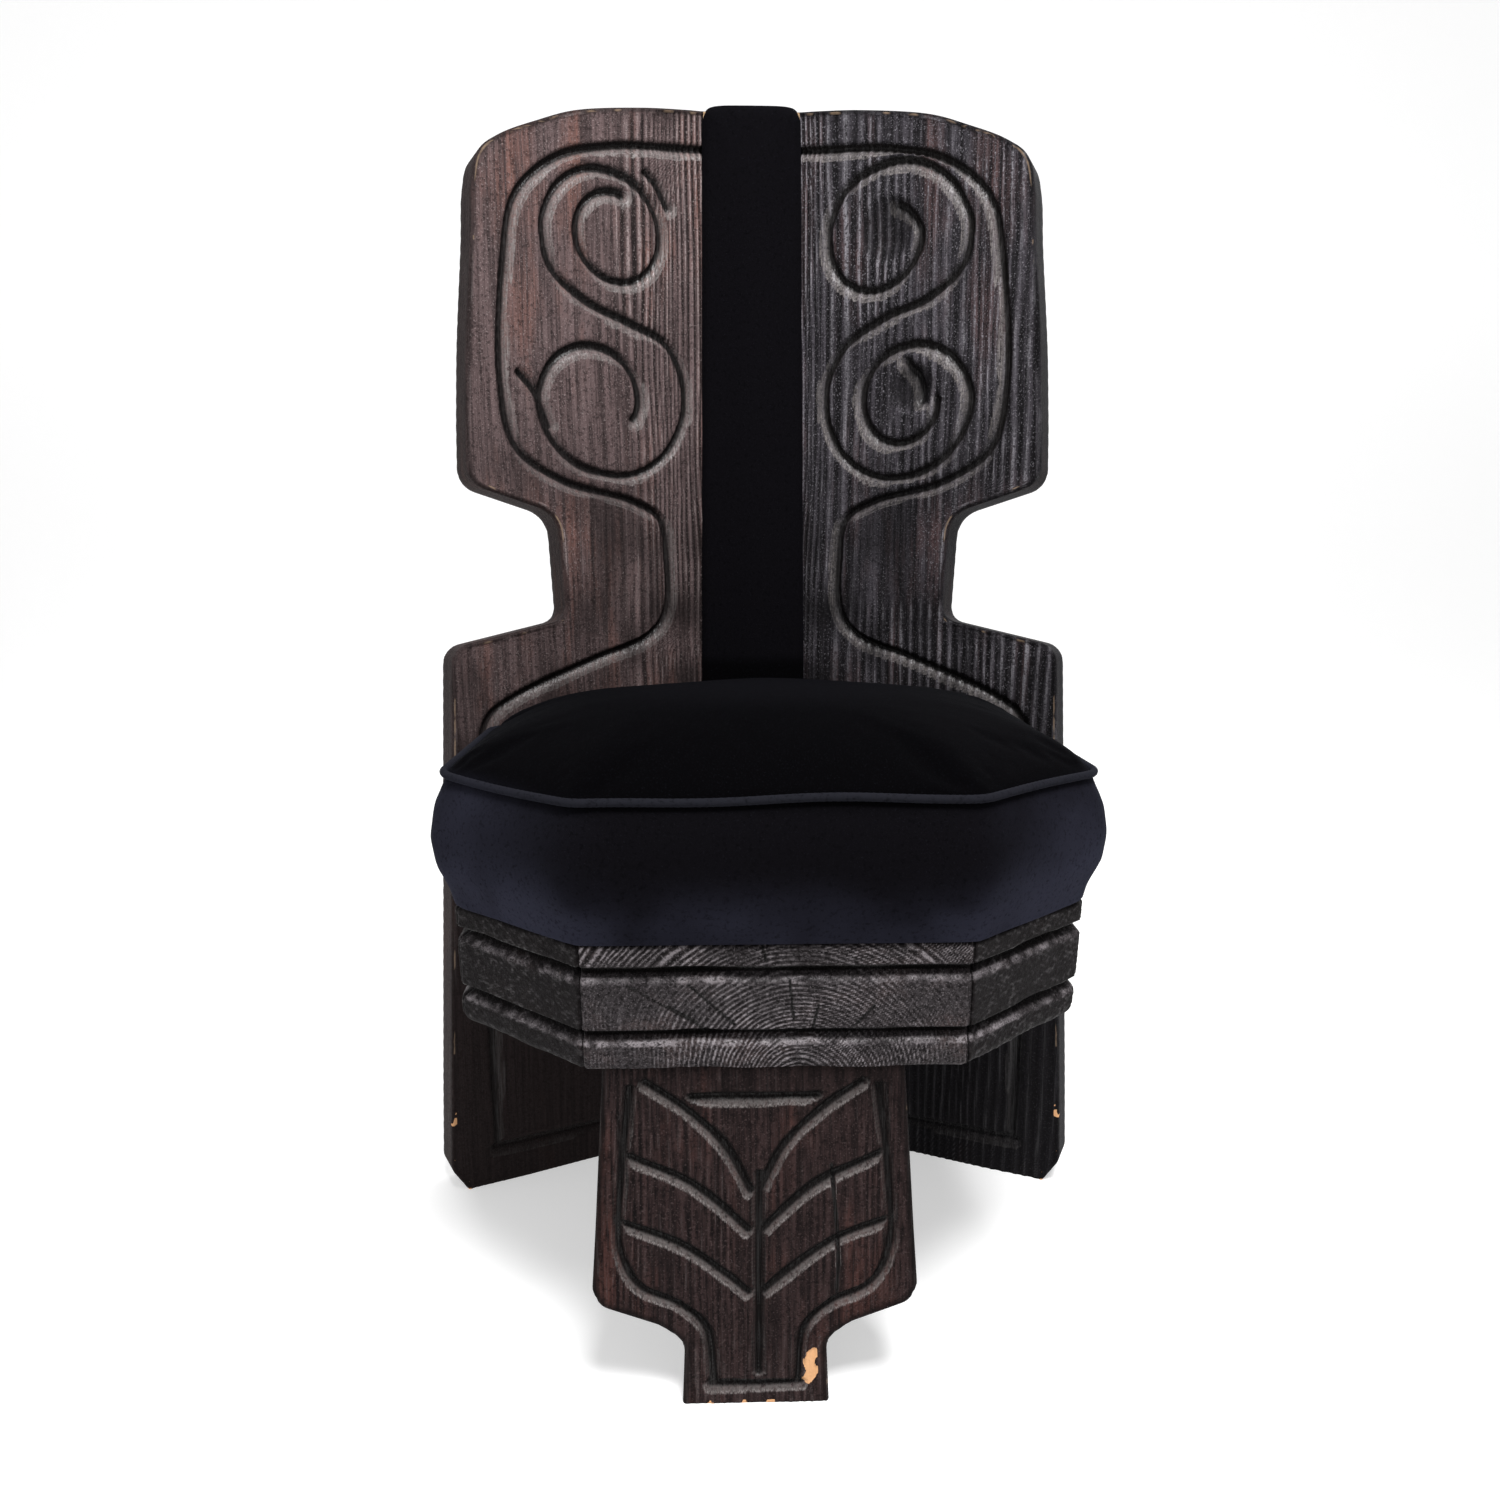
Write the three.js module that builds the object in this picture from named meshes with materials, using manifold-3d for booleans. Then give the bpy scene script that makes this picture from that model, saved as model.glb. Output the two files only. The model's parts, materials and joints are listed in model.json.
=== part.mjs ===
// A carved three-legged chair. Two heavy planks, set in a shallow V and leaned back, stand on the
// floor and form both the back and the rear legs. A thick seat of three glued timbers is lagged to
// them and stands in front on one carved leg. The seat carries a domed velvet cushion, and a padded
// velvet strip fills the valley between the two planks.
// Millimetres, +X to the sitter's left as seen from the front, +Y to the back, +Z up.
import * as THREE from "three";
import { mergeVertices } from "three/addons/utils/BufferGeometryUtils.js";
import Module from "manifold-3d";

const wasm = await Module();
wasm.setup();
const degrees = THREE.MathUtils.degToRad;

// ---------------------------------------------------------------- driving dimensions
const touch = 0.3; // the gap left between two pieces that rest on each other

// The back: u runs outwards along a plank from where the two front faces would meet.
const backHeight = 922;
const plankThickness = 36;
const plankAngle = degrees(26.2); // each plank, turned forwards from the chair's width
const recline = degrees(4.7);
const plankStart = 30; // u of a plank's inner edge
const bodyWidth = 263; // u of the widest point above the neck
const neckWidth = 182;
const shoulderWidth = 283;
const footWidth = 312;
const shoulderHeight = 478;
const neckFoot = 502;
const neckHead = 590;
const bodyFoot = 611;
const apexY = 105; // where the front faces would meet, at the floor

// The spine post between the planks, and its flange behind them.
const flangeReach = 64; // u of the flange's edge
const flangeThickness = 14;

// The padded strip in the valley.
const stripTopHalf = 41;
const stripFootHalf = 48;
const battenThickness =
  stripTopHalf * Math.tan(plankAngle) - (plankStart - touch) * Math.sin(plankAngle) - 2 * touch;
const stripPadThickness = 7;
const velvetThickness = 1.8;

// The seat.
const seatUnderside = 236;
const seatThickness = 89;
const seatFrontY = -271;
const seatFrontHalf = 128;
const seatSideHalf = 227;
const seatCornerY = -180;
const seatShift = 4; // the seat sits a little off the spine, as the hand-made original does
const rimGrooveDepth = 7;
const rimGrooveWidth = 9;
const rimGrooveHeights = [26, seatThickness - 19]; // above the underside

// The front leg.
const legThickness = 38;
const legRake = degrees(9.8);
const legFootY = -309; // the front face at the floor
const legShift = -11;
const legHousing = 10; // how far its head is let into the seat
const legHeadHalf = 101;
const legWidestHalf = 112;
const legFootHalf = 50;

// The carving: gouged lines of a V section. On a plank a point is [u, z], on the leg [x, z].
const carveWidth = 9;
const carveDepth = 4.5;
const carveStep = 14; // the length of one facet along a line
const drawnBackHeight = 922; // the height of the plank and of the leg that the lines are drawn for
const drawnLegTop = 252;
const borderLine = [
  [plankStart + 14, 893], [132, 880], [bodyWidth - 85, 864], [bodyWidth - 51, 833],
  [bodyWidth - 38, 780], [bodyWidth - 32, 690], [bodyWidth - 42, 642], [neckWidth - 1, 617],
  [neckWidth - 64, 604], [neckWidth - 90, 590], [neckWidth - 96, 560], [neckWidth - 94, 510],
  [neckWidth - 75, 488], [neckWidth - 32, 472], [neckWidth + 18, 452], [shoulderWidth - 48, 436],
  [shoulderWidth - 27, 420], [shoulderWidth - 18, 385], [footWidth - 45, 230], [footWidth - 44, 33],
];
const footLine = [[footWidth - 39.5, 33], [plankStart + 30, 33]];
// Each scroll is an upper spiral, a link and a lower spiral; stations are [degrees, radius].
const scrolls = {
  left: {
    upper: { centre: [129, 815], stations: [[465, 31], [270, 36], [180, 41], [90, 46], [0, 62]] },
    link: [[185, 783], [156, 761], [117, 748], [84, 735], [69, 712]],
    lower: { centre: [146, 683], stations: [[180, 79], [270, 57], [360, 53], [450, 43], [560, 34]] },
  },
  right: {
    upper: { centre: [115, 815], stations: [[410, 31], [360, 40], [180, 41], [90, 53], [0, 82]] },
    link: [[191, 786], [163, 764], [126, 753], [89, 733], [73, 706]],
    lower: { centre: [142, 684], stations: [[180, 70], [360, 60], [450, 44], [540, 35], [720, 31]] },
  },
};
const leafBorder = [
  [legHeadHalf - 17, 227], [legWidestHalf - 21, 165], [legWidestHalf - 20, 112],
  [legWidestHalf - 32, 88], [legFootHalf + 2, 74], [legFootHalf - 16, 56], [legFootHalf - 21, 16],
];
const leafVeins = [
  [[legWidestHalf - 39, 231], [45, 212], [20, 187], [3, 155]],
  [[legWidestHalf - 28, 180], [42, 160], [15, 137], [5, 127]],
  [[legWidestHalf - 24, 133], [50, 117], [15, 91], [5, 82]],
];
const leafLines = [
  [[3, 167], [2, 23]],
  [[-42, 221], [42, 221]],
  [[19 - legFootHalf, 15], [legFootHalf - 19, 15]],
];

// The brace behind the leg.
const braceThickness = 38;
const braceHeight = 84;
const tenonLength = 14;
const tenonThickness = 18;
const tenonHeight = 56;

// The cushion.
const cushionBoardThickness = 12;
const cushionOverhang = 5;
const weltHeight = 95; // of the seam, above the seat
const weltRadius = 4;
const crownHeight = 48; // of the dome, above the seam
const cushionBulge = 9;

// Fixings: every one is a head with a shank below it.
const lag = { head: 7.5, headDepth: 6, shank: 4, length: 96 };
const braceLag = { head: 7.5, headDepth: 6, shank: 4, length: 92 };
const woodScrew = { head: 4.6, headDepth: 4, shank: 2.1, length: 40 };
const battenScrew = { head: 4, headDepth: 3, shank: 1.8, length: 28 };
const cushionScrew = { head: 5, headDepth: 4, shank: 2.4, length: 34 };
const plugRadius = 12;
const plugLength = 9;
const dowelRadius = 6;
const dowelLength = 70;

// ---------------------------------------------------------------- materials
const material = (color, roughness, metalness = 0) =>
  new THREE.MeshStandardMaterial({ color, roughness, metalness });
const charredWood = material(0x2c2220, 0.55);
const innerWood = material(0x5b4433, 0.7);
const plywood = material(0xa58354, 0.75);
const foam = material(0xd9cb97, 0.9);
const velvet = material(0x0e0f15, 0.85);
const steel = material(0x8d8d8a, 0.4, 0.9);

// ---------------------------------------------------------------- shapes
// A closed outline whose corners [x, y, radius] are rounded by arcs.
function filleted(corners, arcSteps = 5) {
  const count = corners.length;
  const points = [];
  corners.forEach(([x, y, radius = 0], i) => {
    const here = new THREE.Vector2(x, y);
    if (radius === 0) {
      points.push(here);
      return;
    }
    const [bx, by] = corners[(i + count - 1) % count];
    const [ax, ay] = corners[(i + 1) % count];
    const toBefore = new THREE.Vector2(bx, by).sub(here).normalize();
    const toAfter = new THREE.Vector2(ax, ay).sub(here).normalize();
    const half = Math.acos(toBefore.dot(toAfter)) / 2;
    const bisector = toBefore.clone().add(toAfter).normalize();
    const centre = here.clone().addScaledVector(bisector, radius / Math.sin(half));
    const start = here.clone().addScaledVector(toBefore, radius / Math.tan(half)).sub(centre);
    const end = here.clone().addScaledVector(toAfter, radius / Math.tan(half)).sub(centre);
    const sweep = Math.atan2(start.cross(end), start.dot(end));
    for (let k = 0; k <= arcSteps; k++) {
      const turned = start.clone().rotateAround(new THREE.Vector2(), (sweep * k) / arcSteps);
      points.push(turned.add(centre));
    }
  });
  return points;
}

// The corners of a convex outline, anticlockwise, with every side moved inwards by a distance.
function inset(corners, distance) {
  const count = corners.length;
  const side = (i) => {
    const [x0, y0] = corners[i % count];
    const [x1, y1] = corners[(i + 1) % count];
    const along = new THREE.Vector2(x1 - x0, y1 - y0).normalize();
    const start = new THREE.Vector2(x0 - along.y * distance, y0 + along.x * distance);
    return { start, along };
  };
  return corners.map(([, , radius], i) => {
    const a = side(i + count - 1);
    const b = side(i);
    const t = b.start.clone().sub(a.start).cross(b.along) / a.along.cross(b.along);
    const corner = a.start.clone().addScaledVector(a.along, t);
    return [corner.x, corner.y, radius];
  });
}

// A closed solid through convex rings of equally many points, listed from the lowest upwards.
function stacked(rings) {
  const count = rings[0].length;
  const positions = rings.flatMap((ring) => ring.flatMap((p) => [p.x, p.y, p.z]));
  const index = [];
  const top = (rings.length - 1) * count;
  for (let i = 1; i < count - 1; i++) {
    index.push(0, i + 1, i, top, top + i, top + i + 1);
  }
  for (let r = 0; r < rings.length - 1; r++) {
    for (let i = 0; i < count; i++) {
      const [a, b] = [r * count + i, r * count + ((i + 1) % count)];
      index.push(a, b, b + count, a, b + count, a + count);
    }
  }
  const geometry = new THREE.BufferGeometry();
  geometry.setAttribute("position", new THREE.Float32BufferAttribute(positions, 3));
  geometry.setIndex(index);
  return geometry;
}

const ringAt = (points, z) => points.map((p) => new THREE.Vector3(p.x, p.y, z));

// A board cut to an outline of [across, up], with its front face on y = 0 and its back at +y.
function board(outline, thickness) {
  const shape = new THREE.Shape(outline);
  const geometry = new THREE.ExtrudeGeometry(shape, { depth: thickness, bevelEnabled: false });
  return geometry.rotateX(Math.PI / 2).translate(0, thickness, 0);
}

// A box from its lowest corner to its highest.
function boxBetween([x0, y0, z0], [x1, y1, z1]) {
  const geometry = new THREE.BoxGeometry(x1 - x0, y1 - y0, z1 - z0);
  return geometry.translate((x0 + x1) / 2, (y0 + y1) / 2, (z0 + z1) / 2);
}

// A solid of revolution about Z, from [radius, z] points that start and end on the axis.
function turned(profile, sides = 12) {
  const points = profile.map(([radius, z]) => new THREE.Vector2(radius, z));
  return new THREE.LatheGeometry(points, sides).rotateX(Math.PI / 2);
}

// ---------------------------------------------------------------- solids, cuts and placing
function solid(geometry, matrix = new THREE.Matrix4()) {
  const bare = new THREE.BufferGeometry();
  bare.setAttribute("position", geometry.getAttribute("position").clone());
  if (geometry.index) bare.setIndex(geometry.index.clone());
  const merged = mergeVertices(bare.applyMatrix4(matrix), 1e-4);
  const mesh = new wasm.Mesh({
    numProp: 3,
    vertProperties: merged.attributes.position.array,
    triVerts: new Uint32Array(merged.index.array),
  });
  return new wasm.Manifold(mesh);
}

function geometryOf(manifold) {
  const { vertProperties, triVerts } = manifold.getMesh();
  const geometry = new THREE.BufferGeometry();
  geometry.setAttribute("position", new THREE.BufferAttribute(vertProperties, 3));
  geometry.setIndex(new THREE.BufferAttribute(triVerts, 1));
  return geometry;
}

// The solid of a geometry that is given in one frame, seen from another.
function seenFrom(frame, geometry, geometryFrame) {
  frame.updateWorldMatrix(true, false);
  geometryFrame.updateWorldMatrix(true, false);
  const matrix = frame.matrixWorld.clone().invert().multiply(geometryFrame.matrixWorld);
  return solid(geometry, matrix);
}

function cut(mesh, geometry, geometryFrame) {
  const tool = seenFrom(mesh, geometry, geometryFrame);
  mesh.geometry = geometryOf(solid(mesh.geometry).subtract(tool));
}

function keepInside(mesh, geometry, geometryFrame) {
  const tool = seenFrom(mesh, geometry, geometryFrame);
  mesh.geometry = geometryOf(solid(mesh.geometry).intersect(tool));
}

function piece(parent, name, geometry, finish) {
  const mesh = new THREE.Mesh(geometry, finish);
  mesh.name = name;
  parent.add(mesh);
  return mesh;
}

function frameIn(parent, x = 0, y = 0, z = 0) {
  const frame = new THREE.Group();
  frame.position.set(x, y, z);
  parent.add(frame);
  return frame;
}

// A fixing in a frame whose +Z comes out of its head. It is drilled into each host, and the hole
// goes on outwards for the sunk depth.
function fasten(frame, name, fixing, hosts, sunk = 0) {
  const { head, headDepth, shank, length } = fixing;
  const profile = (c) => [
    [0, c + sunk * (c > 0)],
    [head + c, c + sunk * (c > 0)],
    [head + c, -1],
    [shank + c, -headDepth - c],
    [shank + c, -length + 4],
    [0, -length - c],
  ];
  const reversed = (points) => [...points].reverse();
  piece(frame, name, turned(reversed(profile(0))), steel);
  hosts.forEach((host) => cut(host, turned(reversed(profile(touch))), frame));
}

// ---------------------------------------------------------------- carving
function spiral({ centre, stations }) {
  const points = [];
  stations.slice(1).forEach(([toAngle, toRadius], i) => {
    const [fromAngle, fromRadius] = stations[i];
    const parts = Math.ceil(Math.abs(toAngle - fromAngle) / 30);
    for (let k = Math.min(i, 1); k <= parts; k++) {
      const angle = degrees(THREE.MathUtils.lerp(fromAngle, toAngle, k / parts));
      const radius = THREE.MathUtils.lerp(fromRadius, toRadius, k / parts);
      points.push([centre[0] + radius * Math.cos(angle), centre[1] + radius * Math.sin(angle)]);
    }
  });
  return points;
}

const gouge = new THREE.Shape([
  new THREE.Vector2(-carveDepth, 0),
  new THREE.Vector2(0, carveWidth / 2),
  new THREE.Vector2(carveDepth, 0),
  new THREE.Vector2(0, -carveWidth / 2),
]);

// Heights that are drawn for one size of plank or leg, stretched to the size it has.
const onPlank = (z) =>
  z < neckHead ? z : THREE.MathUtils.mapLinear(z, neckHead, drawnBackHeight, neckHead, backHeight);
const onLeg = (z) => (z * legTop) / drawnLegTop;

// One gouged line through the points of a board's front face; sign mirrors it.
function carve(mesh, line, height, sign = 1) {
  const points = line.map(([x, z]) => new THREE.Vector3(sign * x, 0, height(z)));
  const extrudePath = new THREE.CatmullRomCurve3(points, false, "centripetal");
  const steps = Math.ceil(extrudePath.getLength() / carveStep);
  cut(mesh, new THREE.ExtrudeGeometry(gouge, { steps, extrudePath }), mesh);
}

// ---------------------------------------------------------------- frames
const chair = new THREE.Group();
const floorFrame = frameIn(chair);
const belowFloor = boxBetween([-900, -900, -200], [900, 900, 0]);

const back = frameIn(chair, 0, apexY, 0);
back.rotation.x = -recline;
const sides = { left: -1, right: 1 };
const plankFrames = {};
for (const [side, sign] of Object.entries(sides)) {
  plankFrames[side] = frameIn(back);
  plankFrames[side].rotation.z = -sign * plankAngle;
}

// A point of the back's own plan, from u along a plank and w behind its front face.
const planPoint = (u, w, sign = 1) =>
  new THREE.Vector2(
    sign * (u * Math.cos(plankAngle) + w * Math.sin(plankAngle)),
    w * Math.cos(plankAngle) - u * Math.sin(plankAngle),
  );

// The y of the planks' front face at a distance from the middle and a height.
const plankFaceY = (x, z) => apexY - Math.abs(x) * Math.tan(plankAngle) + z * Math.tan(recline);

// ---------------------------------------------------------------- the carved planks
const footChamfer = 15;
const footDrop = footWidth * Math.sin(plankAngle) * Math.tan(recline);
const chamferSlope = 4 / 3;
const belowFoot = 30;
const plankCorners = [
  [plankStart, -belowFoot],
  [footWidth - footChamfer - (belowFoot - footDrop) / chamferSlope, -belowFoot],
  [footWidth - 1, footChamfer * chamferSlope - footDrop],
  [shoulderWidth, shoulderHeight, 18],
  [neckWidth, neckFoot, 14],
  [neckWidth + 4, neckHead, 24],
  [bodyWidth, bodyFoot, 18],
  [bodyWidth - 17, backHeight - 67, 16],
  [neckWidth, backHeight - 27, 70],
  [102, backHeight - 8, 150],
  [plankStart, backHeight],
];

const planks = {};
for (const [side, sign] of Object.entries(sides)) {
  const outline = filleted(plankCorners).map((p) => new THREE.Vector2(sign * p.x, p.y));
  const geometry = board(sign > 0 ? outline : outline.reverse(), plankThickness);
  planks[side] = piece(plankFrames[side], `back_plank_${side}`, geometry, charredWood);
  cut(planks[side], belowFloor, floorFrame);
  const { upper, link, lower } = scrolls[side];
  const scroll = [...spiral(upper), ...link, ...spiral(lower)];
  [borderLine, footLine, scroll].forEach((line) => carve(planks[side], line, onPlank, sign));
}

// ---------------------------------------------------------------- the spine post
const postTop = backHeight - 8;
const flangeBack = plankThickness + touch + flangeThickness;
const postHalf = [
  planPoint(plankStart - touch, 0),
  planPoint(plankStart - touch, plankThickness + touch),
  planPoint(flangeReach, plankThickness + touch),
  planPoint(flangeReach, flangeBack),
  planPoint(plankStart, flangeBack),
];
const postSection = [
  ...postHalf,
  ...[...postHalf].reverse().map((p) => new THREE.Vector2(-p.x, p.y)),
];
const postShape = new THREE.ExtrudeGeometry(new THREE.Shape(postSection), {
  depth: postTop + belowFoot,
  bevelEnabled: false,
});
const spinePost = piece(back, "spine_post", postShape.translate(0, 0, -belowFoot), charredWood);
cut(spinePost, belowFloor, floorFrame);

for (const [side, sign] of Object.entries(sides)) {
  [130, 420, 660, 860].forEach((height, i) => {
    const u = (plankStart + flangeReach) / 2 + 4; // the middle of the flange's bearing
    const frame = frameIn(plankFrames[side], sign * u, flangeBack - 0.5, height);
    frame.rotation.x = -Math.PI / 2;
    fasten(frame, `spine_screw_${side}_${i + 1}`, woodScrew, [spinePost, planks[side]], 1);
  });
}

// ---------------------------------------------------------------- the padded strip
const seatTop = seatUnderside + seatThickness;
const stripFoot = (seatTop + 1) / Math.cos(recline);
const stripTop = backHeight + 1;

// The chord joins the two planks' faces at the strip's half width; sections are measured from it.
const chordAt = (half) => -half * Math.tan(plankAngle) - touch;

// The batten's section: its front lies along the chord and its sides follow the valley behind it.
function battenRing(half, z) {
  const chordY = chordAt(half);
  const frontHalf = half - touch;
  const backHalf = frontHalf - battenThickness / Math.tan(plankAngle);
  const section = [
    [-frontHalf, chordY - touch],
    [frontHalf, chordY - touch],
    [backHalf, chordY + battenThickness],
    [-backHalf, chordY + battenThickness],
  ];
  return section.map(([x, y]) => new THREE.Vector3(x, y, z));
}

// The section of the pad or its cover where the strip has a half width: narrower than that by a
// margin, from `behind` to `front` before the chord, with its front corners taken off.
function padRing(half, z, { margin, behind, front, corner }) {
  const chordY = chordAt(half);
  const side = half - margin;
  const section = [
    [-side + corner, chordY - front],
    [side - corner, chordY - front],
    [side, chordY - front + corner],
    [side, chordY - behind],
    [-side, chordY - behind],
    [-side, chordY - front + corner],
  ];
  return section.map(([x, y]) => new THREE.Vector3(x, y, z));
}

const battenTop = stripTop - 4;
const batten = piece(
  back,
  "strip_batten",
  stacked([battenRing(stripFootHalf, stripFoot), battenRing(stripTopHalf, battenTop)]),
  plywood,
);
// The pad is narrower than the strip, for the cover's folded sides.
const padSection = { margin: 3.2, behind: 0.8, front: stripPadThickness + 0.8, corner: 3.6 };
const grownPad = (grow) => ({
  margin: padSection.margin - grow,
  behind: padSection.behind - grow,
  front: padSection.front + grow,
  corner: padSection.corner,
});
const pad = (grow, top) =>
  stacked([
    padRing(stripFootHalf, stripFoot - grow, grownPad(grow)),
    padRing(stripTopHalf, top, grownPad(grow)),
  ]);
piece(back, "strip_pad", pad(0, battenTop), foam);

const coverFront = padSection.front + velvetThickness + touch;
const coverSection = { margin: 0.2, behind: 0.6, front: coverFront, corner: 4.4 };
const cover = piece(
  back,
  "strip_cover",
  stacked([
    padRing(stripFootHalf, stripFoot, coverSection),
    padRing(stripTopHalf, stripTop, coverSection),
  ]),
  velvet,
);
cut(cover, pad(touch + 0.4, stripTop - velvetThickness), back);

[400, 640, 870].forEach((height, i) => {
  const half = THREE.MathUtils.mapLinear(height, stripFoot, stripTop, stripFootHalf, stripTopHalf);
  const frame = frameIn(back, 0, -half * Math.tan(plankAngle) - 0.4, height);
  frame.rotation.x = Math.PI / 2;
  fasten(frame, `batten_screw_${i + 1}`, battenScrew, [batten, spinePost], 1);
});

// ---------------------------------------------------------------- the seat timbers
const seat = frameIn(chair, seatShift, 0, 0);

// The seat's outline, anticlockwise from the front left corner; its rear follows the planks.
function seatCorners(height, rearBeyond) {
  const sideRear = plankFaceY(seatSideHalf, height) + rearBeyond;
  return [
    [-seatFrontHalf, seatFrontY, 10],
    [seatFrontHalf, seatFrontY, 10],
    [seatSideHalf, seatCornerY, 10],
    [seatSideHalf, sideRear, 10],
    [0, plankFaceY(0, height) + rearBeyond, 10],
    [-seatSideHalf, sideRear, 10],
    [-seatSideHalf, seatCornerY, 10],
  ];
}

const halfGroove = rimGrooveWidth / 2;
const rimProfile = [
  [0, 3],
  [3, 0],
  ...rimGrooveHeights.flatMap((z) => [
    [z - halfGroove, 0],
    [z - 1.5, rimGrooveDepth],
    [z + 1.5, rimGrooveDepth],
    [z + halfGroove, 0],
  ]),
  [seatThickness, 0],
];
const sharp = (corners) => corners.map(([x, y]) => new THREE.Vector2(x, y));
const rearAllowance = 40;
const slab = stacked(
  rimProfile.map(([height, depth]) =>
    ringAt(
      sharp(inset(seatCorners(seatTop, rearAllowance), depth)),
      seatUnderside + height,
    ),
  ),
);

const farAlong = 420; // clear of the chair on every side
const highestCut = 700;

// Everything behind a line across the back, as one block in the back's own frame. The line is given
// by its right half, from the middle outwards.
function behindLine(rightHalf, lowest) {
  const leftHalf = rightHalf.map((p) => new THREE.Vector2(-p.x, p.y)).reverse();
  const corners = [new THREE.Vector2(farAlong, farAlong), new THREE.Vector2(-farAlong, farAlong)];
  const shape = new THREE.Shape([...corners, ...leftHalf, ...rightHalf]);
  const geometry = new THREE.ExtrudeGeometry(shape, {
    depth: highestCut - lowest,
    bevelEnabled: false,
  });
  return geometry.translate(0, 0, lowest);
}

// What the seat and the brace must clear: the planks' front faces and the post's.
const behindFaces = (gap) =>
  behindLine([planPoint(plankStart - touch, -gap), planPoint(farAlong, -gap)], -belowFoot);

// What the cushion must clear: the strip in the middle, and the planks' front faces beside it.
function behindStrip(gap) {
  const half = stripFootHalf + 3;
  const stripFront = new THREE.Vector2(half, -half * Math.tan(plankAngle) - coverFront - gap);
  const beside = planPoint(half / Math.cos(plankAngle), -gap);
  return behindLine([stripFront, beside, planPoint(farAlong, -gap)], seatUnderside);
}

const timberSpans = {
  left: [-seatSideHalf - 1, -seatFrontHalf - touch],
  centre: [-seatFrontHalf, seatFrontHalf],
  right: [seatFrontHalf + touch, seatSideHalf + 1],
};
const timbers = {};
for (const [place, [from, to]] of Object.entries(timberSpans)) {
  const timber = piece(seat, `seat_timber_${place}`, slab, charredWood);
  keepInside(timber, boxBetween([from, -500, 0], [to, 500, 500]), seat);
  cut(timber, behindFaces(touch), back);
  timbers[place] = timber;
}

// Blind dowels across the two glue lines.
for (const [side, sign] of Object.entries(sides)) {
  [-150, 0].forEach((y, i) => {
    const z = seatUnderside + seatThickness / 2;
    const frame = frameIn(seat, sign * seatFrontHalf, y, z);
    frame.rotation.y = Math.PI / 2;
    const pin = (grow) =>
      turned([
        [0, -dowelLength / 2 - grow],
        [dowelRadius + grow, -dowelLength / 2 - grow],
        [dowelRadius + grow, dowelLength / 2 + grow],
        [0, dowelLength / 2 + grow],
      ]);
    piece(frame, `seat_dowel_${side}_${i + 1}`, pin(0), innerWood);
    [timbers.centre, timbers[side]].forEach((timber) => cut(timber, pin(touch), frame));
  });
}

// Lag screws through the planks into the seat, under wooden plugs.
function lagWithPlug(frame, name, fixing, hosts, sunk) {
  fasten(frame, `${name}_lag`, fixing, hosts);
  const bore = turned([
    [0, -1],
    [plugRadius + touch, -1],
    [plugRadius + touch, sunk + 2],
    [0, sunk + 2],
  ]);
  hosts.slice(0, 1).forEach((host) => cut(host, bore, frame));
  const plug = turned([
    [0, sunk - plugLength],
    [plugRadius, sunk - plugLength],
    [plugRadius, sunk + 0.6],
    [plugRadius - 1.5, sunk + 1.5],
    [0, sunk + 1.5],
  ]);
  piece(frame, `${name}_plug`, plug, charredWood);
}

const seatMiddle = (seatUnderside + seatThickness / 2) / Math.cos(recline);
const lagSeat = 14; // how deep a lag's head sits below the face it enters
const lagReach = { inner: 100, outer: 205 }; // u of each lag
for (const [side, sign] of Object.entries(sides)) {
  for (const [place, u] of Object.entries(lagReach)) {
    const frame = frameIn(plankFrames[side], sign * u, plankThickness - lagSeat, seatMiddle);
    frame.rotation.x = -Math.PI / 2;
    const timber = place === "inner" ? timbers.centre : timbers[side];
    lagWithPlug(frame, `plank_${side}_${place}`, lag, [planks[side], timber], lagSeat);
  }
}

// ---------------------------------------------------------------- the front leg
const leg = frameIn(chair, legShift, legFootY, 0);
leg.rotation.x = -legRake;
const legTop = (seatUnderside + legHousing) / Math.cos(legRake);
const legHalfCorners = [
  [legFootHalf + 1, -belowFoot],
  [legFootHalf - 1, 46, 14],
  [66, 58, 16],
  [legWidestHalf - 6, 72, 12],
  [legWidestHalf, 84, 12],
  [legWidestHalf - 3, 125],
  [legHeadHalf, legTop + 20],
];
const legOutline = filleted([
  ...legHalfCorners,
  ...[...legHalfCorners].reverse().map(([x, z, r]) => [-x, z, r]),
]);
const frontLeg = piece(leg, "front_leg", board(legOutline, legThickness), charredWood);
cut(frontLeg, belowFloor, floorFrame);
const housingTop = seatUnderside + legHousing - touch;
cut(frontLeg, boxBetween([-400, -600, housingTop], [400, 400, 600]), floorFrame);
for (const sign of Object.values(sides)) {
  [leafBorder, ...leafVeins].forEach((line) => carve(frontLeg, line, onLeg, sign));
}
leafLines.forEach((line) => carve(frontLeg, line, onLeg));

// The housing in the seat's underside takes the leg's head.
const headSpace = boxBetween(
  [-legHeadHalf - 3, -touch, legTop - 60],
  [legHeadHalf + 3, legThickness + touch, legTop + 60],
);
const belowHousingTop = boxBetween([-400, -600, 0], [400, 400, seatUnderside + legHousing]);
const housing = seenFrom(floorFrame, headSpace, leg).intersect(solid(belowHousingTop));
cut(timbers.centre, geometryOf(housing), floorFrame);

// ---------------------------------------------------------------- the brace
const braceX = legShift / 2;
const braceTop = seatUnderside - touch;
const braceMiddle = braceTop - braceHeight / 2;
const brace = piece(
  chair,
  "leg_brace",
  boxBetween(
    [braceX - braceThickness / 2, legFootY, braceTop - braceHeight],
    [braceX + braceThickness / 2, 300, braceTop],
  ),
  charredWood,
);
const inFrontOfLegBack = boxBetween([-300, -300, -100], [300, legThickness + touch, 500]);
cut(brace, inFrontOfLegBack, leg);
cut(brace, behindFaces(touch), back);

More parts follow.
